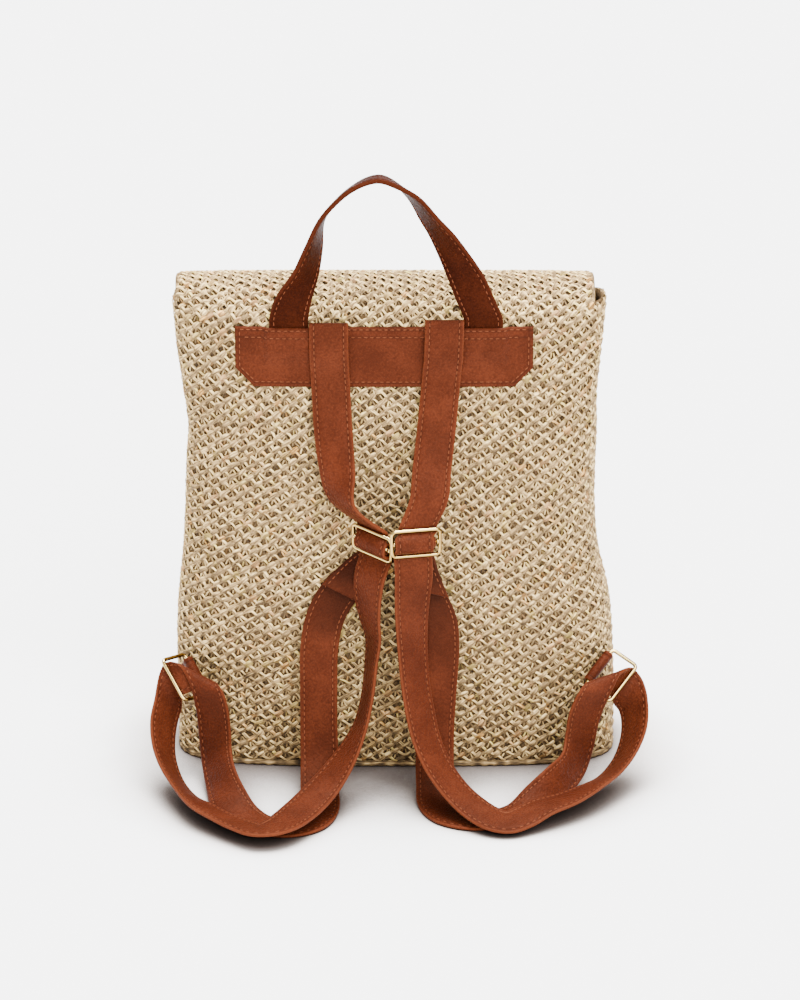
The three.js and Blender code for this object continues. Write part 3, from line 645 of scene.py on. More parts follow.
def keepFlap(u, v):
    within = (u > flap["u"][0] + 1.2) & (u < flap["u"][1] - 1.2)
    return within & (v > flap["v"][0] + 1) & (v < flap["v"][1] - 2)


lastFlapRow = int(flap["v"][1] / weaveSizes["rowPitch"]) + 1
# The flap's straw is painted lighter than the body's, as painted light from above
weavePiece("straw_flap_weave", flap, flapColumns, bodyPitch, topRow, lastFlapRow, keepFlap, "flap", 0.11)
print("stage: weave")


# Closed skins behind the strands, in the backing colour that is painted shade: depths under the woven surface, and
# rows and columns
backingSizes = {"outer": -1.15, "inner": -bagSizes["wall"], "body": (60, 180), "flap": (90, 60)}


def backingWalls(sheet, u, v):
    return [sheetPlace(sheet, u, v, backingSizes[wall]) for wall in ("outer", "inner")]


def bodyBacking():
    rows, columns = backingSizes["body"]
    around = np.linspace(-perimeter / 2, perimeter / 2, columns, endpoint=False)
    u, share = np.meshgrid(around, np.linspace(0, 1, rows))
    outer, inner = backingWalls(body, u, share * (rimAt(u) + 1))
    floors = [[0, 0, 0.4], [0, 0, bagSizes["wall"]]]
    points = np.concatenate([outer.reshape(-1, 3), inner[::-1].reshape(-1, 3), floors])
    count = rows * 2 * columns
    top = count - columns
    faces = gridFaces(rows * 2, columns, True).tolist()
    faces += [[(c + 1) % columns, c, count] for c in range(columns)]
    faces += [[top + c, top + (c + 1) % columns, count + 1] for c in range(columns)]
    makeMesh("straw_body_backing", points, faces, backing, "bag_body")


def flapBacking():
    rows, columns = backingSizes["flap"]
    down = np.linspace(bagSizes["seamHeight"] + 0.3, flap["v"][1], rows)
    v, u = np.meshgrid(down, np.linspace(*flap["u"], columns), indexing="ij")
    outer, inner = backingWalls(flap, u, v)
    ring = np.concatenate([outer, inner[:, ::-1]], axis=1)
    faces = [face[::-1] for face in skinFaces(rows, columns * 2)]
    makeMesh("straw_flap_backing", ring, faces, backing, "flap")


bodyBacking()
flapBacking()


# Round tube along a path, with two directions across it at each point
def tubeSkin(path, side, up, radius, closed, sides):
    angle = np.arange(sides) * 2 * math.pi / sides
    outward = side[:, None] * np.cos(angle)[:, None] + up[:, None] * np.sin(angle)[:, None]
    points = path[:, None] + np.broadcast_to(radius, (len(path),))[:, None, None] * outward
    faces = skinFaces(len(path), sides)
    if closed:
        last = (len(path) - 1) * sides
        faces[-2:] = [[last + k, last + (k + 1) % sides, (k + 1) % sides, k] for k in range(sides)]
    return points.reshape(-1, 3), faces, outward


def pathDirections(path, closed):
    return unitRows(np.roll(path, -1, 0) - np.roll(path, 1, 0) if closed else np.gradient(path, axis=0))


# Round cord for edges and rolled seams
def cordSkin(path, radius, closed, sides):
    along = pathDirections(path, closed)
    up = np.where(np.abs(along[:, 2:]) > 0.8, (1.0, 0.0, 0.0), (0.0, 0.0, 1.0))
    side = unitRows(np.cross(along, up))
    return tubeSkin(path, side, np.cross(side, along), radius, closed, sides)[:2]


def strawCord(name, path, radius, closed, replaces, sides=8):
    points, faces = cordSkin(path, radius, closed, sides)
    count = len(points)
    rows = np.arange(count) // sides
    tone = 0.42 + 0.25 * np.sin(rows * 0.9) * np.cos(rows * 0.23)
    hue = (rows * 0.0371) % 0.8
    maps = np.stack([(np.arange(count) % sides) * 0.8, rows * 1.5], -1)
    makeMesh(name, points, faces, straw, replaces, {"tone": tone, "hue": hue}, maps)


around = np.linspace(-perimeter / 2, perimeter / 2, 500, endpoint=False)
twist = 1.9 + 0.25 * np.sin(np.arange(500) * 1.3)
strawCord("base_roll", sheetPlace(body, around, np.full(500, 1.95), -0.6), twist, True, "bag_body")
mouth = np.concatenate([around[around > perimeter * 0.25], around[around < -perimeter * 0.25]])
strawCord("mouth_roll", sheetPlace(body, mouth, rimAt(mouth) + 0.4, -1.0), 1.25, False, "bag_body")
flapLength = np.linspace(bagSizes["seamHeight"], flap["v"][1] - 0.8, 220)
flapAcross = np.linspace(flap["u"][0] + 0.8, flap["u"][1] - 0.8, 150)
edgeU = np.concatenate([np.full(220, flap["u"][0] + 0.8), flapAcross[1:-1], np.full(220, flap["u"][1] - 0.8)])
edgeV = np.concatenate([flapLength, np.full(148, flap["v"][1] - 0.8), flapLength[::-1]])
strawCord("flap_edge_roll", sheetPlace(flap, edgeU, edgeV, -0.9), 1.3, False, "flap")
print("stage: straw")

# Leather straps
strapSizes = {
    "width": 25.0,
    "thickness": 2.2,
    "wire": 2.2,
    "seat": 0.5,
    "fit": 0.3,
    "sliderPitch": 8.9,
    "ringPitch": 20.0,
    "sideRoom": 2.0,
    "skew": 1.6,
    "tailStand": 2.4,
    "loopReach": 180.0,
    "buckleHeight": 165.0,
    "stitchInset": 3.0,
    "stitchPitch": 4.0,
}
layer = strapSizes["thickness"] + strapSizes["fit"]
wrapRadius = strapSizes["wire"] / 2 + strapSizes["seat"] + strapSizes["thickness"] / 2
passRadius = wrapRadius + layer
quarter = math.pi / 2

# Rows of upper: x as a share of the half width, height, distance off the bag in millimetres and twist.
# Rows of front and back: x, y and z as shares of the half width, the reach and the buckle's height, then turn
# and lean in degrees. A ring has its bar's place and direction, then the ring's and the tab's directions.
straps = {
    "left": {
        "sign": -1,
        "upper": [(-0.298, 304, 2.8, 0), (-0.297, 282, 2.8, 0), (-0.294, 272, 0.4, 0), (-0.290, 261, 0.4, 0),
                  (-0.280, 236, 5, 4), (-0.263, 212, 12, 20), (-0.242, 192, 17, 46)],
        "buckle": ((-0.109, -0.392, 1.0), (0.79, -0.61, -0.13), (-0.2, -0.05, 1)),
        "front": [
            (-0.120, -0.405, 0.868, 141, 0), (-0.130, -0.412, 0.775, 133, -3), (-0.121, -0.424, 0.692, 122, -8),
            (-0.106, -0.421, 0.612, 113, -12), (-0.114, -0.430, 0.520, 108, -14), (-0.131, -0.472, 0.394, 107, -16),
            (-0.160, -0.522, 0.297, 110, -16), (-0.212, -0.578, 0.212, 120, -10), (-0.275, -0.640, 0.145, 131, -2),
            (-0.356, -0.728, 0.091, 142, 3), (-0.445, -0.840, 0.066, 148, 2), (-0.508, -0.911, 0.061, 138, -3),
            (-0.560, -0.936, 0.058, 108, -6), (-0.607, -0.936, 0.054, 78, -9), (-0.668, -0.896, 0.050, 56, -12),
            (-0.762, -0.832, 0.054, 51, -17), (-0.856, -0.756, 0.064, 50, -20), (-0.938, -0.650, 0.070, 46, -36),
            (-1.006, -0.545, 0.103, 42, -42), (-1.043, -0.460, 0.160, 42, -41), (-1.048, -0.400, 0.230, 38, -40),
            (-1.030, -0.340, 0.297, 30, -46),
        ],
        "ring": ((-1.004, -0.338, 0.397), (0.48, -0.54, -0.69), (0.70, 0.72, -0.07), (-0.48, 0.52, -0.70)),
        "back": [
            (-0.904, -0.335, 0.424, -18, -24), (-0.856, -0.388, 0.394, -28, 0), (-0.828, -0.408, 0.315, -28, 10),
            (-0.816, -0.420, 0.212, -27, 14), (-0.808, -0.447, 0.127, -22, 30), (-0.786, -0.540, 0.078, -3, 42),
            (-0.748, -0.650, 0.046, 17, 28), (-0.685, -0.744, 0.022, 38, 9), (-0.586, -0.814, 0.012, 66, 0),
            (-0.482, -0.838, 0.010, 95, 0), (-0.384, -0.794, 0.010, 135, 0), (-0.340, -0.680, 0.012, 174, 0),
            (-0.344, -0.560, 0.040, 180, 0), (-0.346, -0.480, 0.121, 176, 0), (-0.349, -0.442, 0.245, 168, 0),
            (-0.349, -0.415, 0.394, 168, 0), (-0.346, -0.375, 0.552, 174, 4), (-0.318, -0.336, 0.670, 174, 14),
            (-0.250, -0.322, 0.775, 170, 24), (-0.150, -0.328, 0.870, 152, 14),
        ],
    },
    "right": {
        "sign": 1,
        "upper": [(0.208, 306, 3.3, 0), (0.203, 282, 3.1, 0), (0.197, 272, 0.4, 0), (0.190, 261, 0.4, 0),
                  (0.173, 237, 6, 0), (0.153, 214, 16, 0), (0.138, 196, 25, 0)],
        "buckle": ((0.083, -0.456, 1.027), (0.98, 0.17, 0.02), (0, -0.05, 1)),
        "front": [
            (0.074, -0.456, 0.890, 12, 0), (0.068, -0.454, 0.800, 24, -4), (0.065, -0.456, 0.715, 32, -7),
            (0.068, -0.472, 0.600, 39, -10), (0.082, -0.517, 0.460, 42, -11), (0.102, -0.561, 0.364, 42, -9),
            (0.131, -0.611, 0.270, 46, -5), (0.182, -0.661, 0.182, 53, 0), (0.267, -0.722, 0.100, 55, 1),
            (0.360, -0.789, 0.055, 52, 3), (0.435, -0.833, 0.040, 64, 6), (0.490, -0.838, 0.037, 95, 8),
            (0.553, -0.811, 0.044, 115, 5), (0.637, -0.767, 0.064, 122, -1), (0.747, -0.705, 0.068, 127, -9),
            (0.856, -0.622, 0.076, 130, -20), (0.955, -0.522, 0.085, 131, -29), (1.027, -0.440, 0.133, 130, -30),
            (1.066, -0.368, 0.206, 134, -27), (1.062, -0.318, 0.285, 148, -32),
        ],
        "ring": ((1.018, -0.306, 0.366), (-0.60, -0.535, -0.593), (-0.80, 0.414, 0.435), (0.02, 0.74, -0.68)),
        "back": [
            (0.930, -0.345, 0.412, 200, -10), (0.885, -0.394, 0.375, 206, 8), (0.838, -0.414, 0.279, 208, 20),
            (0.816, -0.430, 0.176, 208, 30), (0.788, -0.480, 0.108, 205, 48), (0.719, -0.578, 0.082, 180, 58),
            (0.637, -0.672, 0.052, 150, 38), (0.545, -0.744, 0.024, 128, 10), (0.452, -0.762, 0.012, 108, 2),
            (0.340, -0.780, 0.010, 85, 0), (0.232, -0.740, 0.010, 45, 0), (0.176, -0.640, 0.012, 8, 0),
            (0.170, -0.540, 0.045, 0, 0), (0.168, -0.478, 0.121, 0, 0), (0.170, -0.447, 0.245, 2, 0),
            (0.180, -0.425, 0.394, 4, 0), (0.192, -0.400, 0.552, 6, 2), (0.182, -0.387, 0.690, 8, -8),
            (0.140, -0.388, 0.805, 9, -16), (0.100, -0.397, 0.890, 9, -8),
        ],
    },
}


def placeOf(share):
    s = strapSizes
    return np.array(share) * (bagSizes["baseHalfWidth"], s["loopReach"], s["buckleHeight"])


def unit(vector):
    vector = np.asarray(vector, float)
    return vector / np.linalg.norm(vector)


def direction(turn, lean):
    t, l = math.radians(turn), math.radians(lean)
    return np.array([math.cos(l) * math.cos(t), math.cos(l) * math.sin(t), math.sin(l)])


def barFrame(centre, along, up):
    bar = unit(along)
    square = unit(np.asarray(up, float) - bar * np.dot(up, bar))
    return {"centre": np.asarray(centre, float), "along": bar, "up": square, "out": np.cross(bar, square)}


def freeRows(table):
    return [(placeOf(row[:3]), direction(row[3], row[4])) for row in table]


def arcRows(place, across, height, radius, start, end, steps, shift=0.0):
    rows = []
    for i in range(steps + 1):
        angle = start + (end - start) * i / steps
        centre = place["centre"] + place["up"] * (height + radius * math.cos(angle)) + place["along"] * shift
        rows.append((centre + place["out"] * radius * math.sin(angle), across))
    return rows


def strapRows(side):
    s = strapSizes
    pitch = s["sliderPitch"]
    lift = s["seat"] + 2.0 + s["fit"] + s["thickness"] / 2
    rows = []
    for x, z, off, twist in side["upper"]:
        x = x * bagSizes["baseHalfWidth"]
        rows.append((np.array([x, backPlace(x, z, 0) - lift - off, z]), side["sign"] * direction(-twist, 0)))
    centre, along, up = side["buckle"]
    buckle = barFrame(placeOf(centre), along, up)
    across = buckle["along"] * side["sign"]
    cross = math.asin((passRadius + wrapRadius) / pitch)
    rise = math.asin(2 * layer / pitch)
    shift = side["sign"] * s["skew"]
    rows += arcRows(buckle, across, pitch, wrapRadius, 0.5 - quarter, -quarter - cross, 4, shift)
    rows += arcRows(buckle, across, 0, passRadius, quarter - cross, quarter + cross, 7, -shift)
    rows += arcRows(buckle, across, -pitch, wrapRadius, cross - quarter, -quarter - 0.35, 5, -shift)
    rows += freeRows(side["front"])
    bar, ringAlong, plane, tail = side["ring"]
    ringAlong = unit(ringAlong)
    apex = unit(np.array([0, 1.0, 0]) - ringAlong * ringAlong[1])
    through = np.cross(ringAlong, apex)
    through = through if through[2] > 0 else -through
    for angle in np.radians((-12, 0, 12)):
        turned = apex * math.cos(angle) + through * math.sin(angle)
        rows.append((placeOf(bar) - ringAlong * 1.2 + wrapRadius * turned, ringAlong))
    back = freeRows(side["back"])
    rows += back
    end = arcRows(buckle, across, -pitch, wrapRadius + 2 * layer, -quarter - 0.35, rise - quarter, 4)
    first = end[0]
    end += arcRows(buckle, across, 0, wrapRadius, rise - quarter, quarter + cross, 12)
    end += arcRows(buckle, across, -pitch, passRadius, cross - quarter, -quarter - 0.35, 5)
    rows += end
    ends = back[-3:] + [first]
    for i, stand in ((2, 1.0), (1, s["tailStand"])):
        face = unit(np.cross(ends[i + 1][0] - ends[i - 1][0], ends[i][1]))
        lift = (layer + s["seat"]) * stand
        rows.append((ends[i][0] + face * (-lift if np.dot(face, buckle["out"]) < 0 else lift), ends[i][1]))
    return rows, buckle


# Even stations along a smooth curve through the rows
def evenStations(rows, step):
    table = np.array([[*place, *across] for place, across in rows])
    levels = ([(0, 1), (1, 2), (2, 3)], [(0, 2), (1, 3)], [(1, 2)])
    curve = []
    for i in range(len(table) - 1):
        quad = table[[max(i - 1, 0), i, i + 1, min(i + 2, len(table) - 1)]]
        gaps = [math.sqrt(max(np.linalg.norm(quad[k + 1][:3] - quad[k][:3]), 1e-6)) for k in range(3)]
        knots = np.concatenate([[0], np.cumsum(gaps)])
        for t in knots[1] + (knots[2] - knots[1]) * np.linspace(0, 1, 13)[:-1]:
            level = quad
            for spans in levels:
                level = [level[k] + (level[k + 1] - level[k]) * (t - knots[a]) / (knots[b] - knots[a])
                         for k, (a, b) in enumerate(spans)]
            curve.append(level[0])
    curve = np.array(curve + [table[-1]])
    length = pathLength(curve[:, :3])
    places = np.linspace(0, length[-1], max(int(length[-1] / step), 2))
    even = sample(places, length, curve)
    centre, across = even[:, :3], unitRows(even[:, 3:])
    along = unitRows(np.gradient(centre, axis=0))
    return {"centre": centre, "across": across, "face": unitRows(np.cross(along, across)), "length": places}


# Half of a strap's outline: place across and height, as shares of the half width and the half thickness
strapOutline = [(1.0, 0.0), (0.985, 0.55), (0.955, 0.86), (0.90, 1.0), (0.82, 1.02), (0.765, 0.80),
                (0.74, 0.80), (0.68, 1.0), (0.4, 1.05), (0.0, 1.06)]


def strapSkin(stations, width, thickness, shaded=None):
    half = strapOutline + [(-w, t) for w, t in strapOutline[-2::-1]]
    outline = half + [(w, -t) for w, t in half[-2:0:-1]]
    w = np.array([p[0] for p in outline]) * width / 2
    t = np.array([p[1] for p in outline]) * thickness / 2
    points = (stations["centre"][:, None] + stations["across"][:, None] * w[:, None]
              + stations["face"][:, None] * t[:, None])
    rows, columns = points.shape[:2]
    share = np.abs(w) / (width / 2)
    # Painted highlight: lighter along the rounded edges
    edge = np.clip((share - 0.9) / 0.08, 0, 1) * 0.7
    # Painted shade: darker along the groove near each edge, and on leather behind the buckle and near the floor,
    # from shaded
    groove = np.broadcast_to(0.75 * np.clip(1 - np.abs(share - 0.752) / 0.05, 0, 1), (rows, columns))
    if shaded is not None:
        groove = np.maximum(groove, shaded[:, None])
    marks = {"edge": np.broadcast_to(edge, (rows, columns)).ravel(), "groove": groove.ravel()}
    return points.reshape(-1, 3), skinFaces(rows, columns), marks


# Leather behind the buckle and near the floor is darker, as it lies in shade
def behindBuckle(stations, buckle):
    offset = stations["centre"] - buckle["centre"]
    low = -offset[:, 2]
    far = np.clip((offset[:, 1] - 3.0) / 5.0, 0, 1) * (stations["length"] > stations["length"][-1] * 0.6)
    back = 0.92 * far * np.clip((low + 4) / 8, 0, 1) * np.clip(1.35 - low / 75, 0, 1)
    return np.maximum(back, 0.2 * np.clip(1 - stations["centre"][:, 2] / 160, 0, 1))


def strapPiece(name, stations, width, thickness, replaces, material=leather, shaded=None):
    points, faces, marks = strapSkin(stations, width, thickness, shaded)
    makeMesh(name, points, faces, material, replaces, marks)


# Stitches: short rounded beads, one template turned and placed many times
def stitchMesh(name, centres, alongs, normals, replaces):
    sides, profile = 6, [(-1.0, 0.0), (-0.82, 0.75), (0.0, 1.0), (0.82, 0.75), (1.0, 0.0)]
    angle = np.arange(sides) * 2 * math.pi / sides
    template = np.array([[a, r * math.cos(t), r * math.sin(t)] for a, r in profile[1:-1] for t in angle]
                        + [[-1.0, 0, 0], [1.0, 0, 0]])
    faces = gridFaces(3, sides, True).tolist()
    faces += [[(k + 1) % sides, k, 3 * sides] for k in range(sides)]
    faces += [[2 * sides + k, 2 * sides + (k + 1) % sides, 3 * sides + 1] for k in range(sides)]
    side = unitRows(np.cross(normals, alongs))
    points = (centres[:, None] + alongs[:, None] * template[:, 0:1] * 1.3
              + side[:, None] * template[:, 1:2] * 0.36 + normals[:, None] * template[:, 2:3] * 0.3)
    size = len(template)
    every = [[v + n * size for v in f] for n in range(len(centres)) for f in faces]
    makeMesh(name, points.reshape(-1, 3), every, thread, replaces)


def strapStitches(name, stations, width, thickness, replaces, start=3.0):
    s = strapSizes
    length = stations["length"]
    places = np.arange(start, length[-1] - start, s["stitchPitch"])
    centre, across, out = (sample(places, length, stations[key]) for key in ("centre", "across", "face"))
    rows = []
    for edge in (-1, 1):
        reach = edge * (width / 2 - s["stitchInset"])
        path = unitRows(np.gradient(stations["centre"] + stations["across"] * reach, axis=0))
        along = unitRows(sample(places, length, path))
        for face in (1, -1):
            rows.append((centre + across * reach + out * face * thickness * 0.42, along, out * face))
    stitchMesh(name, *(np.concatenate(part) for part in zip(*rows)), replaces)


# Metal wire: radius and corner, and the knobs on a middle bar as places along it with radii
metalSizes = {
    "radius": 0.58 * strapSizes["wire"],
    "corner": 2.6,
    "knobInset": 1.4,
    "knob": [(-1.1, 1.3), (-0.8, 1.9), (0.8, 1.9), (1.1, 1.3)],
}


# A round wire along a rounded frame, with a straight middle bar where there is one
def metalFrame(name, place, halfWidth, halfHeight, middleBar, replaces):
    radius, corner = metalSizes["radius"], metalSizes["corner"]
    w, h = halfWidth - radius, halfHeight - radius
    path = []
    for start, (right, top) in enumerate(((1, 1), (-1, 1), (-1, -1), (1, -1))):
        for i in range(5):
            angle = (start + i / 4) * quarter
            path.append((right * (w - corner) + corner * math.cos(angle),
                         top * (h - corner) + corner * math.sin(angle)))
    loop = np.array([place["centre"] + place["along"] * x + place["up"] * y for x, y in path])
    points, faces, gleam = ringSweep(loop, place["out"], radius)
    if middleBar:
        ends = np.array([place["centre"] + place["along"] * x for x in (-w, w)])
        bars = [ringSweep(ends, place["out"], radius, closed=False)]
        offsets, radii = np.array(metalSizes["knob"]).T
        for x in (metalSizes["knobInset"] - w, w - metalSizes["knobInset"]):
            knob = place["centre"] + place["along"] * (x + offsets)[:, None]
            bars.append(ringSweep(knob, place["out"], radii, closed=False))
        for bar, barFaces, barGleam in bars:
            faces += [[v + len(points) for v in f] for f in barFaces]
            points = np.concatenate([points, bar])
            gleam = np.concatenate([gleam, barGleam])
    makeMesh(name, points, faces, gold, replaces, {"gleam": gleam})


# Round wire in the plane across a normal, and how much each point faces the gleam, which sets its painted
# reflection
def ringSweep(path, normal, radius, closed=True, sides=12):
    side = unitRows(np.cross(pathDirections(path, closed), normal))
    points, faces, outward = tubeSkin(path, side, np.tile(normal, (len(path), 1)), radius, closed, sides)
    return points, faces, (0.5 + 0.5 * outward @ unit(goldLook["gleamFrom"])).ravel()


# Leather tab folded round the far side of a ring: how far it reaches, and where it closes as a share
tabSizes = {"width": 24.0, "thickness": 1.8, "reach": 8.0, "neck": 1.6}


def ringTab(name, middle, fold):
    t = tabSizes
    radius = strapSizes["wire"] / 2 + strapSizes["seat"] + t["thickness"] / 2
    gap = fold["out"] * (strapSizes["fit"] + t["thickness"]) / 2
    reach, neck = fold["up"] * t["reach"], fold["up"] * radius * t["neck"]
    tab = [reach + gap, neck + gap]
    for angle in np.linspace(quarter * 0.72, quarter * 3.28, 11):
        tab.append(fold["up"] * radius * math.cos(angle) + fold["out"] * radius * math.sin(angle))
    tab += [neck - gap, reach - gap]
    stations = evenStations([(middle + offset, fold["along"]) for offset in tab], 0.8)
    strapPiece(name + "_leather", stations, t["width"], t["thickness"], name)


def strapSide(name, side):
    s = strapSizes
    rows, buckle = strapRows(side)
    stations = evenStations(rows, 1.6)
    piece = "shoulder_strap_" + name
    strapPiece(piece + "_leather", stations, s["width"], s["thickness"], piece,
               shaded=behindBuckle(stations, buckle))
    strapStitches(piece + "_stitches", stations, s["width"], s["thickness"], piece)
    halfWidth = s["width"] / 2 + s["sideRoom"] + s["wire"]
    metalFrame("slider_" + name + "_metal", buckle, halfWidth, s["sliderPitch"] + s["wire"] / 2, True,
               "slider_" + name)
    bar, along, plane, tail = side["ring"]
    ring = barFrame(placeOf(bar), along, plane)
    middle = ring["centre"] + ring["up"] * s["ringPitch"]
    ring["centre"] = ring["centre"] + ring["up"] * s["ringPitch"] / 2
    metalFrame("strap_ring_" + name + "_metal", ring, halfWidth, (s["ringPitch"] + s["wire"]) / 2, False,
               "strap_ring_" + name)
    ringTab("ring_tab_" + name, middle, barFrame(middle, along, tail))


for name, side in straps.items():
    strapSide(name, side)
print("stage: straps and metal")

# Carry handle: x, y and z as shares of the half width, half depth and rise, then turn and lean in degrees
handleSizes = {"rise": 96.0, "bandTop": 300.0, "legs": (-69.0, 55.0), "sewn": 14.0}
handleArch = [
    (-0.449, -0.750, 0.208, 21, -4), (-0.395, -0.760, 0.385, 50, -8), (-0.363, -0.760, 0.542, 65, -10),
    (-0.325, -0.740, 0.740, 86, -12), (-0.264, -0.722, 0.854, 90, -13), (-0.199, -0.704, 0.938, 90, -11),
    (-0.130, -0.667, 0.990, 90, -8), (-0.072, -0.630, 1.000, 90, -7), (-0.003, -0.630, 0.958, 95, -8),
    (0.072, -0.648, 0.875, 105, -12), (0.144, -0.685, 0.729, 118, -12), (0.192, -0.704, 0.635, 127, -12),
    (0.250, -0.722, 0.490, 142, -10), (0.298, -0.740, 0.354, 160, -6), (0.342, -0.750, 0.193, 174, -2),
]


def handleLeg(x, across):
    lift = strapSizes["seat"] + strapSizes["thickness"] / 2
    return [(np.array([x, backPlace(x, z, lift), z]), across)
            for z in (handleSizes["bandTop"] - d for d in (handleSizes["sewn"], 7, 0, -5))]


def carryHandle():
    h = handleSizes
    rows = handleLeg(h["legs"][0], np.array([1.0, 0, 0]))
    for x, y, z, turn, lean in handleArch:
        place = (x * bagSizes["baseHalfWidth"], y * bagSizes["baseHalfDepth"], h["bandTop"] + z * h["rise"])
        rows.append((np.array(place), direction(turn, lean)))
    rows += handleLeg(h["legs"][1], np.array([-1.0, 0, 0]))[::-1]
    stations = evenStations(rows, 1.4)
    strapPiece("carry_handle_leather", stations, strapSizes["width"], 3.0, "carry_handle", shadedHandleLeather)
    strapStitches("carry_handle_stitches", stations, strapSizes["width"], 3.0, "carry_handle", 16)


carryHandle()

# Yoke band with cut-off lower corners and pockets over the handle's legs
bandSizes = {"left": -103.5, "right": 87.0, "top": 300.0, "height": 39.0, "chamfer": 12.0, "thickness": 2.0}


def bandBump(x, z):
    bump = 0.0
    for leg in handleSizes["legs"]:
        beyond = abs(x - leg) - strapSizes["width"] / 2 - 0.6
        bump = max(bump, min(max(1 - beyond / 4.0, 0), 1))
    below = bandSizes["top"] - handleSizes["sewn"] - 0.6 - z
    fade = min(max(1 - below / 12.0, 0), 1)
    return 2.7 * bump * bump * (3 - 2 * bump) * fade * fade * (3 - 2 * fade)


def bandEnd(x):
    return min(x - bandSizes["left"], bandSizes["right"] - x)


def bandLow(x):
    return bandSizes["top"] - bandSizes["height"] + max(bandSizes["chamfer"] - bandEnd(x), 0)


def bandPoint(x, z, height):
    return np.array([x, backPlace(x, z, 0.5 + bandBump(x, z) + height), z])


def bandHeight(x, z, low):
    fromTop = bandSizes["top"] - z
    fromEdge = min(bandEnd(x), fromTop, z - low)
    rounding = min(fromEdge / 1.3, 1.0)
    height = bandSizes["thickness"] * (0.45 + 0.55 * math.sqrt(max(1 - (1 - rounding) ** 2, 0)))
    ridge = 0.28 * math.exp(-((fromTop - 4.0) / 1.9) ** 2) if bandEnd(x) > 6 else 0
    groove = 0.16 * math.exp(-((fromEdge - 3.2) / 0.7) ** 2)
    return height + ridge - groove


# Painted shade: how much darker the band is along its stitch rows and the groove near its edges
def bandGroove(x, z, low):
    fromEdge = min(bandEnd(x), z - low)
    fromTop = bandSizes["top"] - z
    rows = min(abs(fromTop - 1.8), abs(fromTop - 6.6), abs(fromEdge - 2.9))
    return 0.6 * math.exp(-(rows / 0.6) ** 2)


def yokeBand():
    left, right = bandSizes["left"], bandSizes["right"]
    xs = np.concatenate([np.linspace(left, left + 1.5, 4)[:-1], np.linspace(left + 1.5, right - 1.5, 180),
                         np.linspace(right - 1.5, right, 4)[1:]])
    shares = np.concatenate([[0, 0.012, 0.03], np.linspace(0.05, 0.95, 44), [0.97, 0.988, 1]])
    outer, inner, grooves = [], [], []
    for x in xs:
        low = bandLow(x)
        zs = low + (bandSizes["top"] - low) * shares
        marks = [bandGroove(x, z, low) for z in zs]
        grooves.append(marks + [0.0] * len(marks))
        outer.append([bandPoint(x, z, bandHeight(x, z, low)) for z in zs])
        inner.append([bandPoint(x, z, 0.0) for z in zs])
    ring = np.concatenate([np.array(outer), np.array(inner)[:, ::-1]], axis=1)
    rows, columns = ring.shape[:2]
    faces = [face[::-1] for face in skinFaces(rows, columns)]
    makeMesh("yoke_band_leather", ring, faces, leather, "yoke_band",
             {"edge": np.zeros(rows * columns), "groove": np.array(grooves).ravel()})


def bandStitches():
    b = bandSizes
    low = b["top"] - b["height"]
    lines = [
        [(b["left"] + 3, b["top"] - 1.6), (b["right"] - 3, b["top"] - 1.6)],
        [(b["left"] + 6, b["top"] - 6.6), (b["right"] - 6, b["top"] - 6.6)],
        [(b["left"] + 2.9, b["top"] - 3), (b["left"] + 2.9, low + b["chamfer"] + 1.2),
         (b["left"] + b["chamfer"] + 1.2, low + 3.4), (b["right"] - b["chamfer"] - 1.2, low + 3.4),
         (b["right"] - 2.9, low + b["chamfer"] + 1.2), (b["right"] - 2.9, b["top"] - 3)],
    ]
    rows = []
    for line in lines:
        line = np.array(line)
        length = pathLength(line)
        for place in np.arange(1.5, length[-1] - 1, strapSizes["stitchPitch"]):
            here, there = (bandPoint(x, z, bandHeight(x, z, bandLow(x)))
                           for x, z in (sample(at, length, line) for at in (place, place + 0.5)))
            rows.append((here, unit(there - here), (0, -1.0, -0.12)))
    stitchMesh("yoke_band_stitches", *(np.array(part) for part in zip(*rows)), "yoke_band")


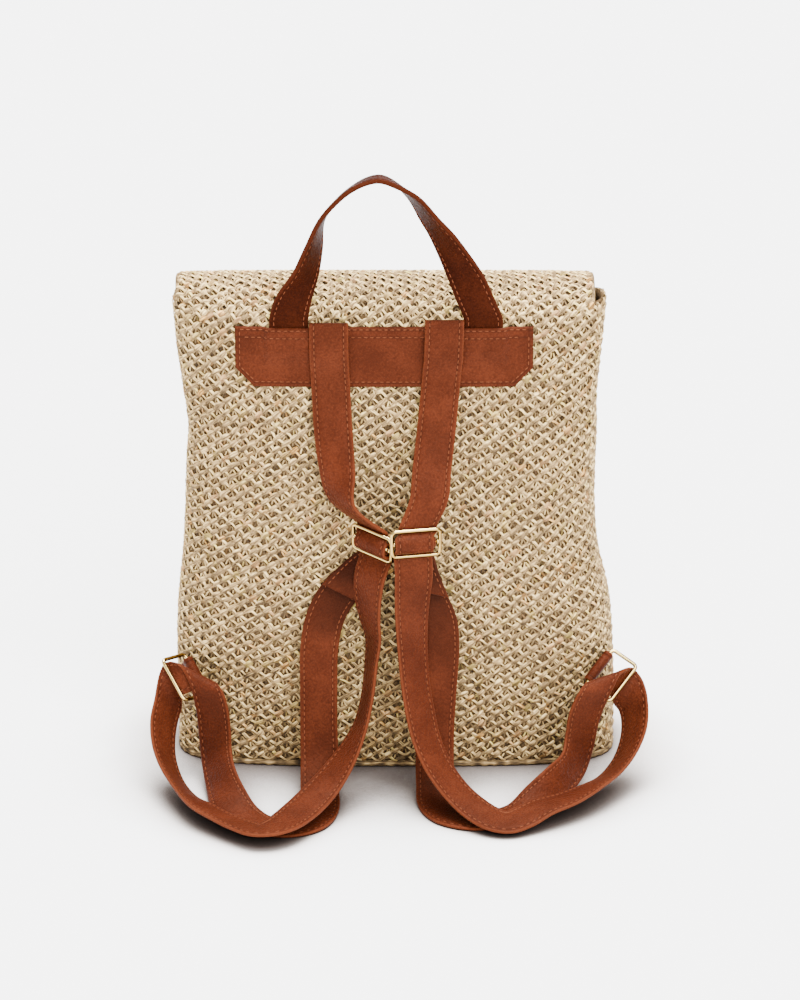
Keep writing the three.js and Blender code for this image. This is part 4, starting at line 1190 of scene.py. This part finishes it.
yokeBand()
bandStitches()
print("stage: leather")

# Floor with painted shadow near the bag, camera and lights, each light with its strength, tilt, turn and spread
stageLook = {
    "shadow": [(0.0, (0.010, 0.006, 0.005)), (0.32, (0.060, 0.045, 0.039)), (0.55, (0.26, 0.228, 0.209)),
               (0.75, (0.66, 0.620, 0.600)), (0.95, (0.93, 0.93, 0.93))],
    "shadowReach": 0.07,
    "sky": 0.9,
    "lights": {"top light": (14.2, -8, -6, 36), "front fill": (6.8, 50, 20, 50)},
    "lens": 122.76,
    "cameraAt": (0.0019, -2.1173, 0.9396),
    "cameraTilt": 70,
}


def makeStage():
    mesh = bpy.data.meshes.new("floor")
    mesh.from_pydata([(-9, -6, 0), (9, -6, 0), (9, 12, 0), (-9, 12, 0)], [], [(0, 1, 2, 3)])
    material, tree = newMaterial("white floor")
    # Painted shadow: the floor is painted darker and warmer where ambient occlusion finds the bag and straps close
    # by
    near = addNode(tree, "ShaderNodeAmbientOcclusion", {"Distance": stageLook["shadowReach"]}, samples=16)
    color = rampColor(tree, near["AO"], stageLook["shadow"])
    setShader(tree, {"Base Color": color, "Roughness": 0.9, "Specular IOR Level": 0.1})
    mesh.materials.append(material)
    addObject("floor", mesh)
    world = bpy.data.worlds.new("studio")
    bpy.context.scene.world = world
    world.use_nodes = True
    sky = {"Color": (1, 1, 1, 1), "Strength": stageLook["sky"]}
    setInputs(world.node_tree, world.node_tree.nodes["Background"], sky)
    for name, (strength, tilt, turn, spread) in stageLook["lights"].items():
        data = bpy.data.lights.new(name, "SUN")
        data.energy = strength
        data.angle = math.radians(spread)
        addObject(name, data).rotation_euler = (math.radians(tilt), 0, math.radians(turn))
    data = bpy.data.cameras.new("camera")
    data.lens = stageLook["lens"]
    data.sensor_width = 36
    data.clip_end = 60
    camera = addObject("camera", data)
    camera.location = stageLook["cameraAt"]
    camera.rotation_euler = (math.radians(stageLook["cameraTilt"]), 0, 0)
    bpy.context.scene.camera = camera


makeStage()
print("stage: lights and camera")
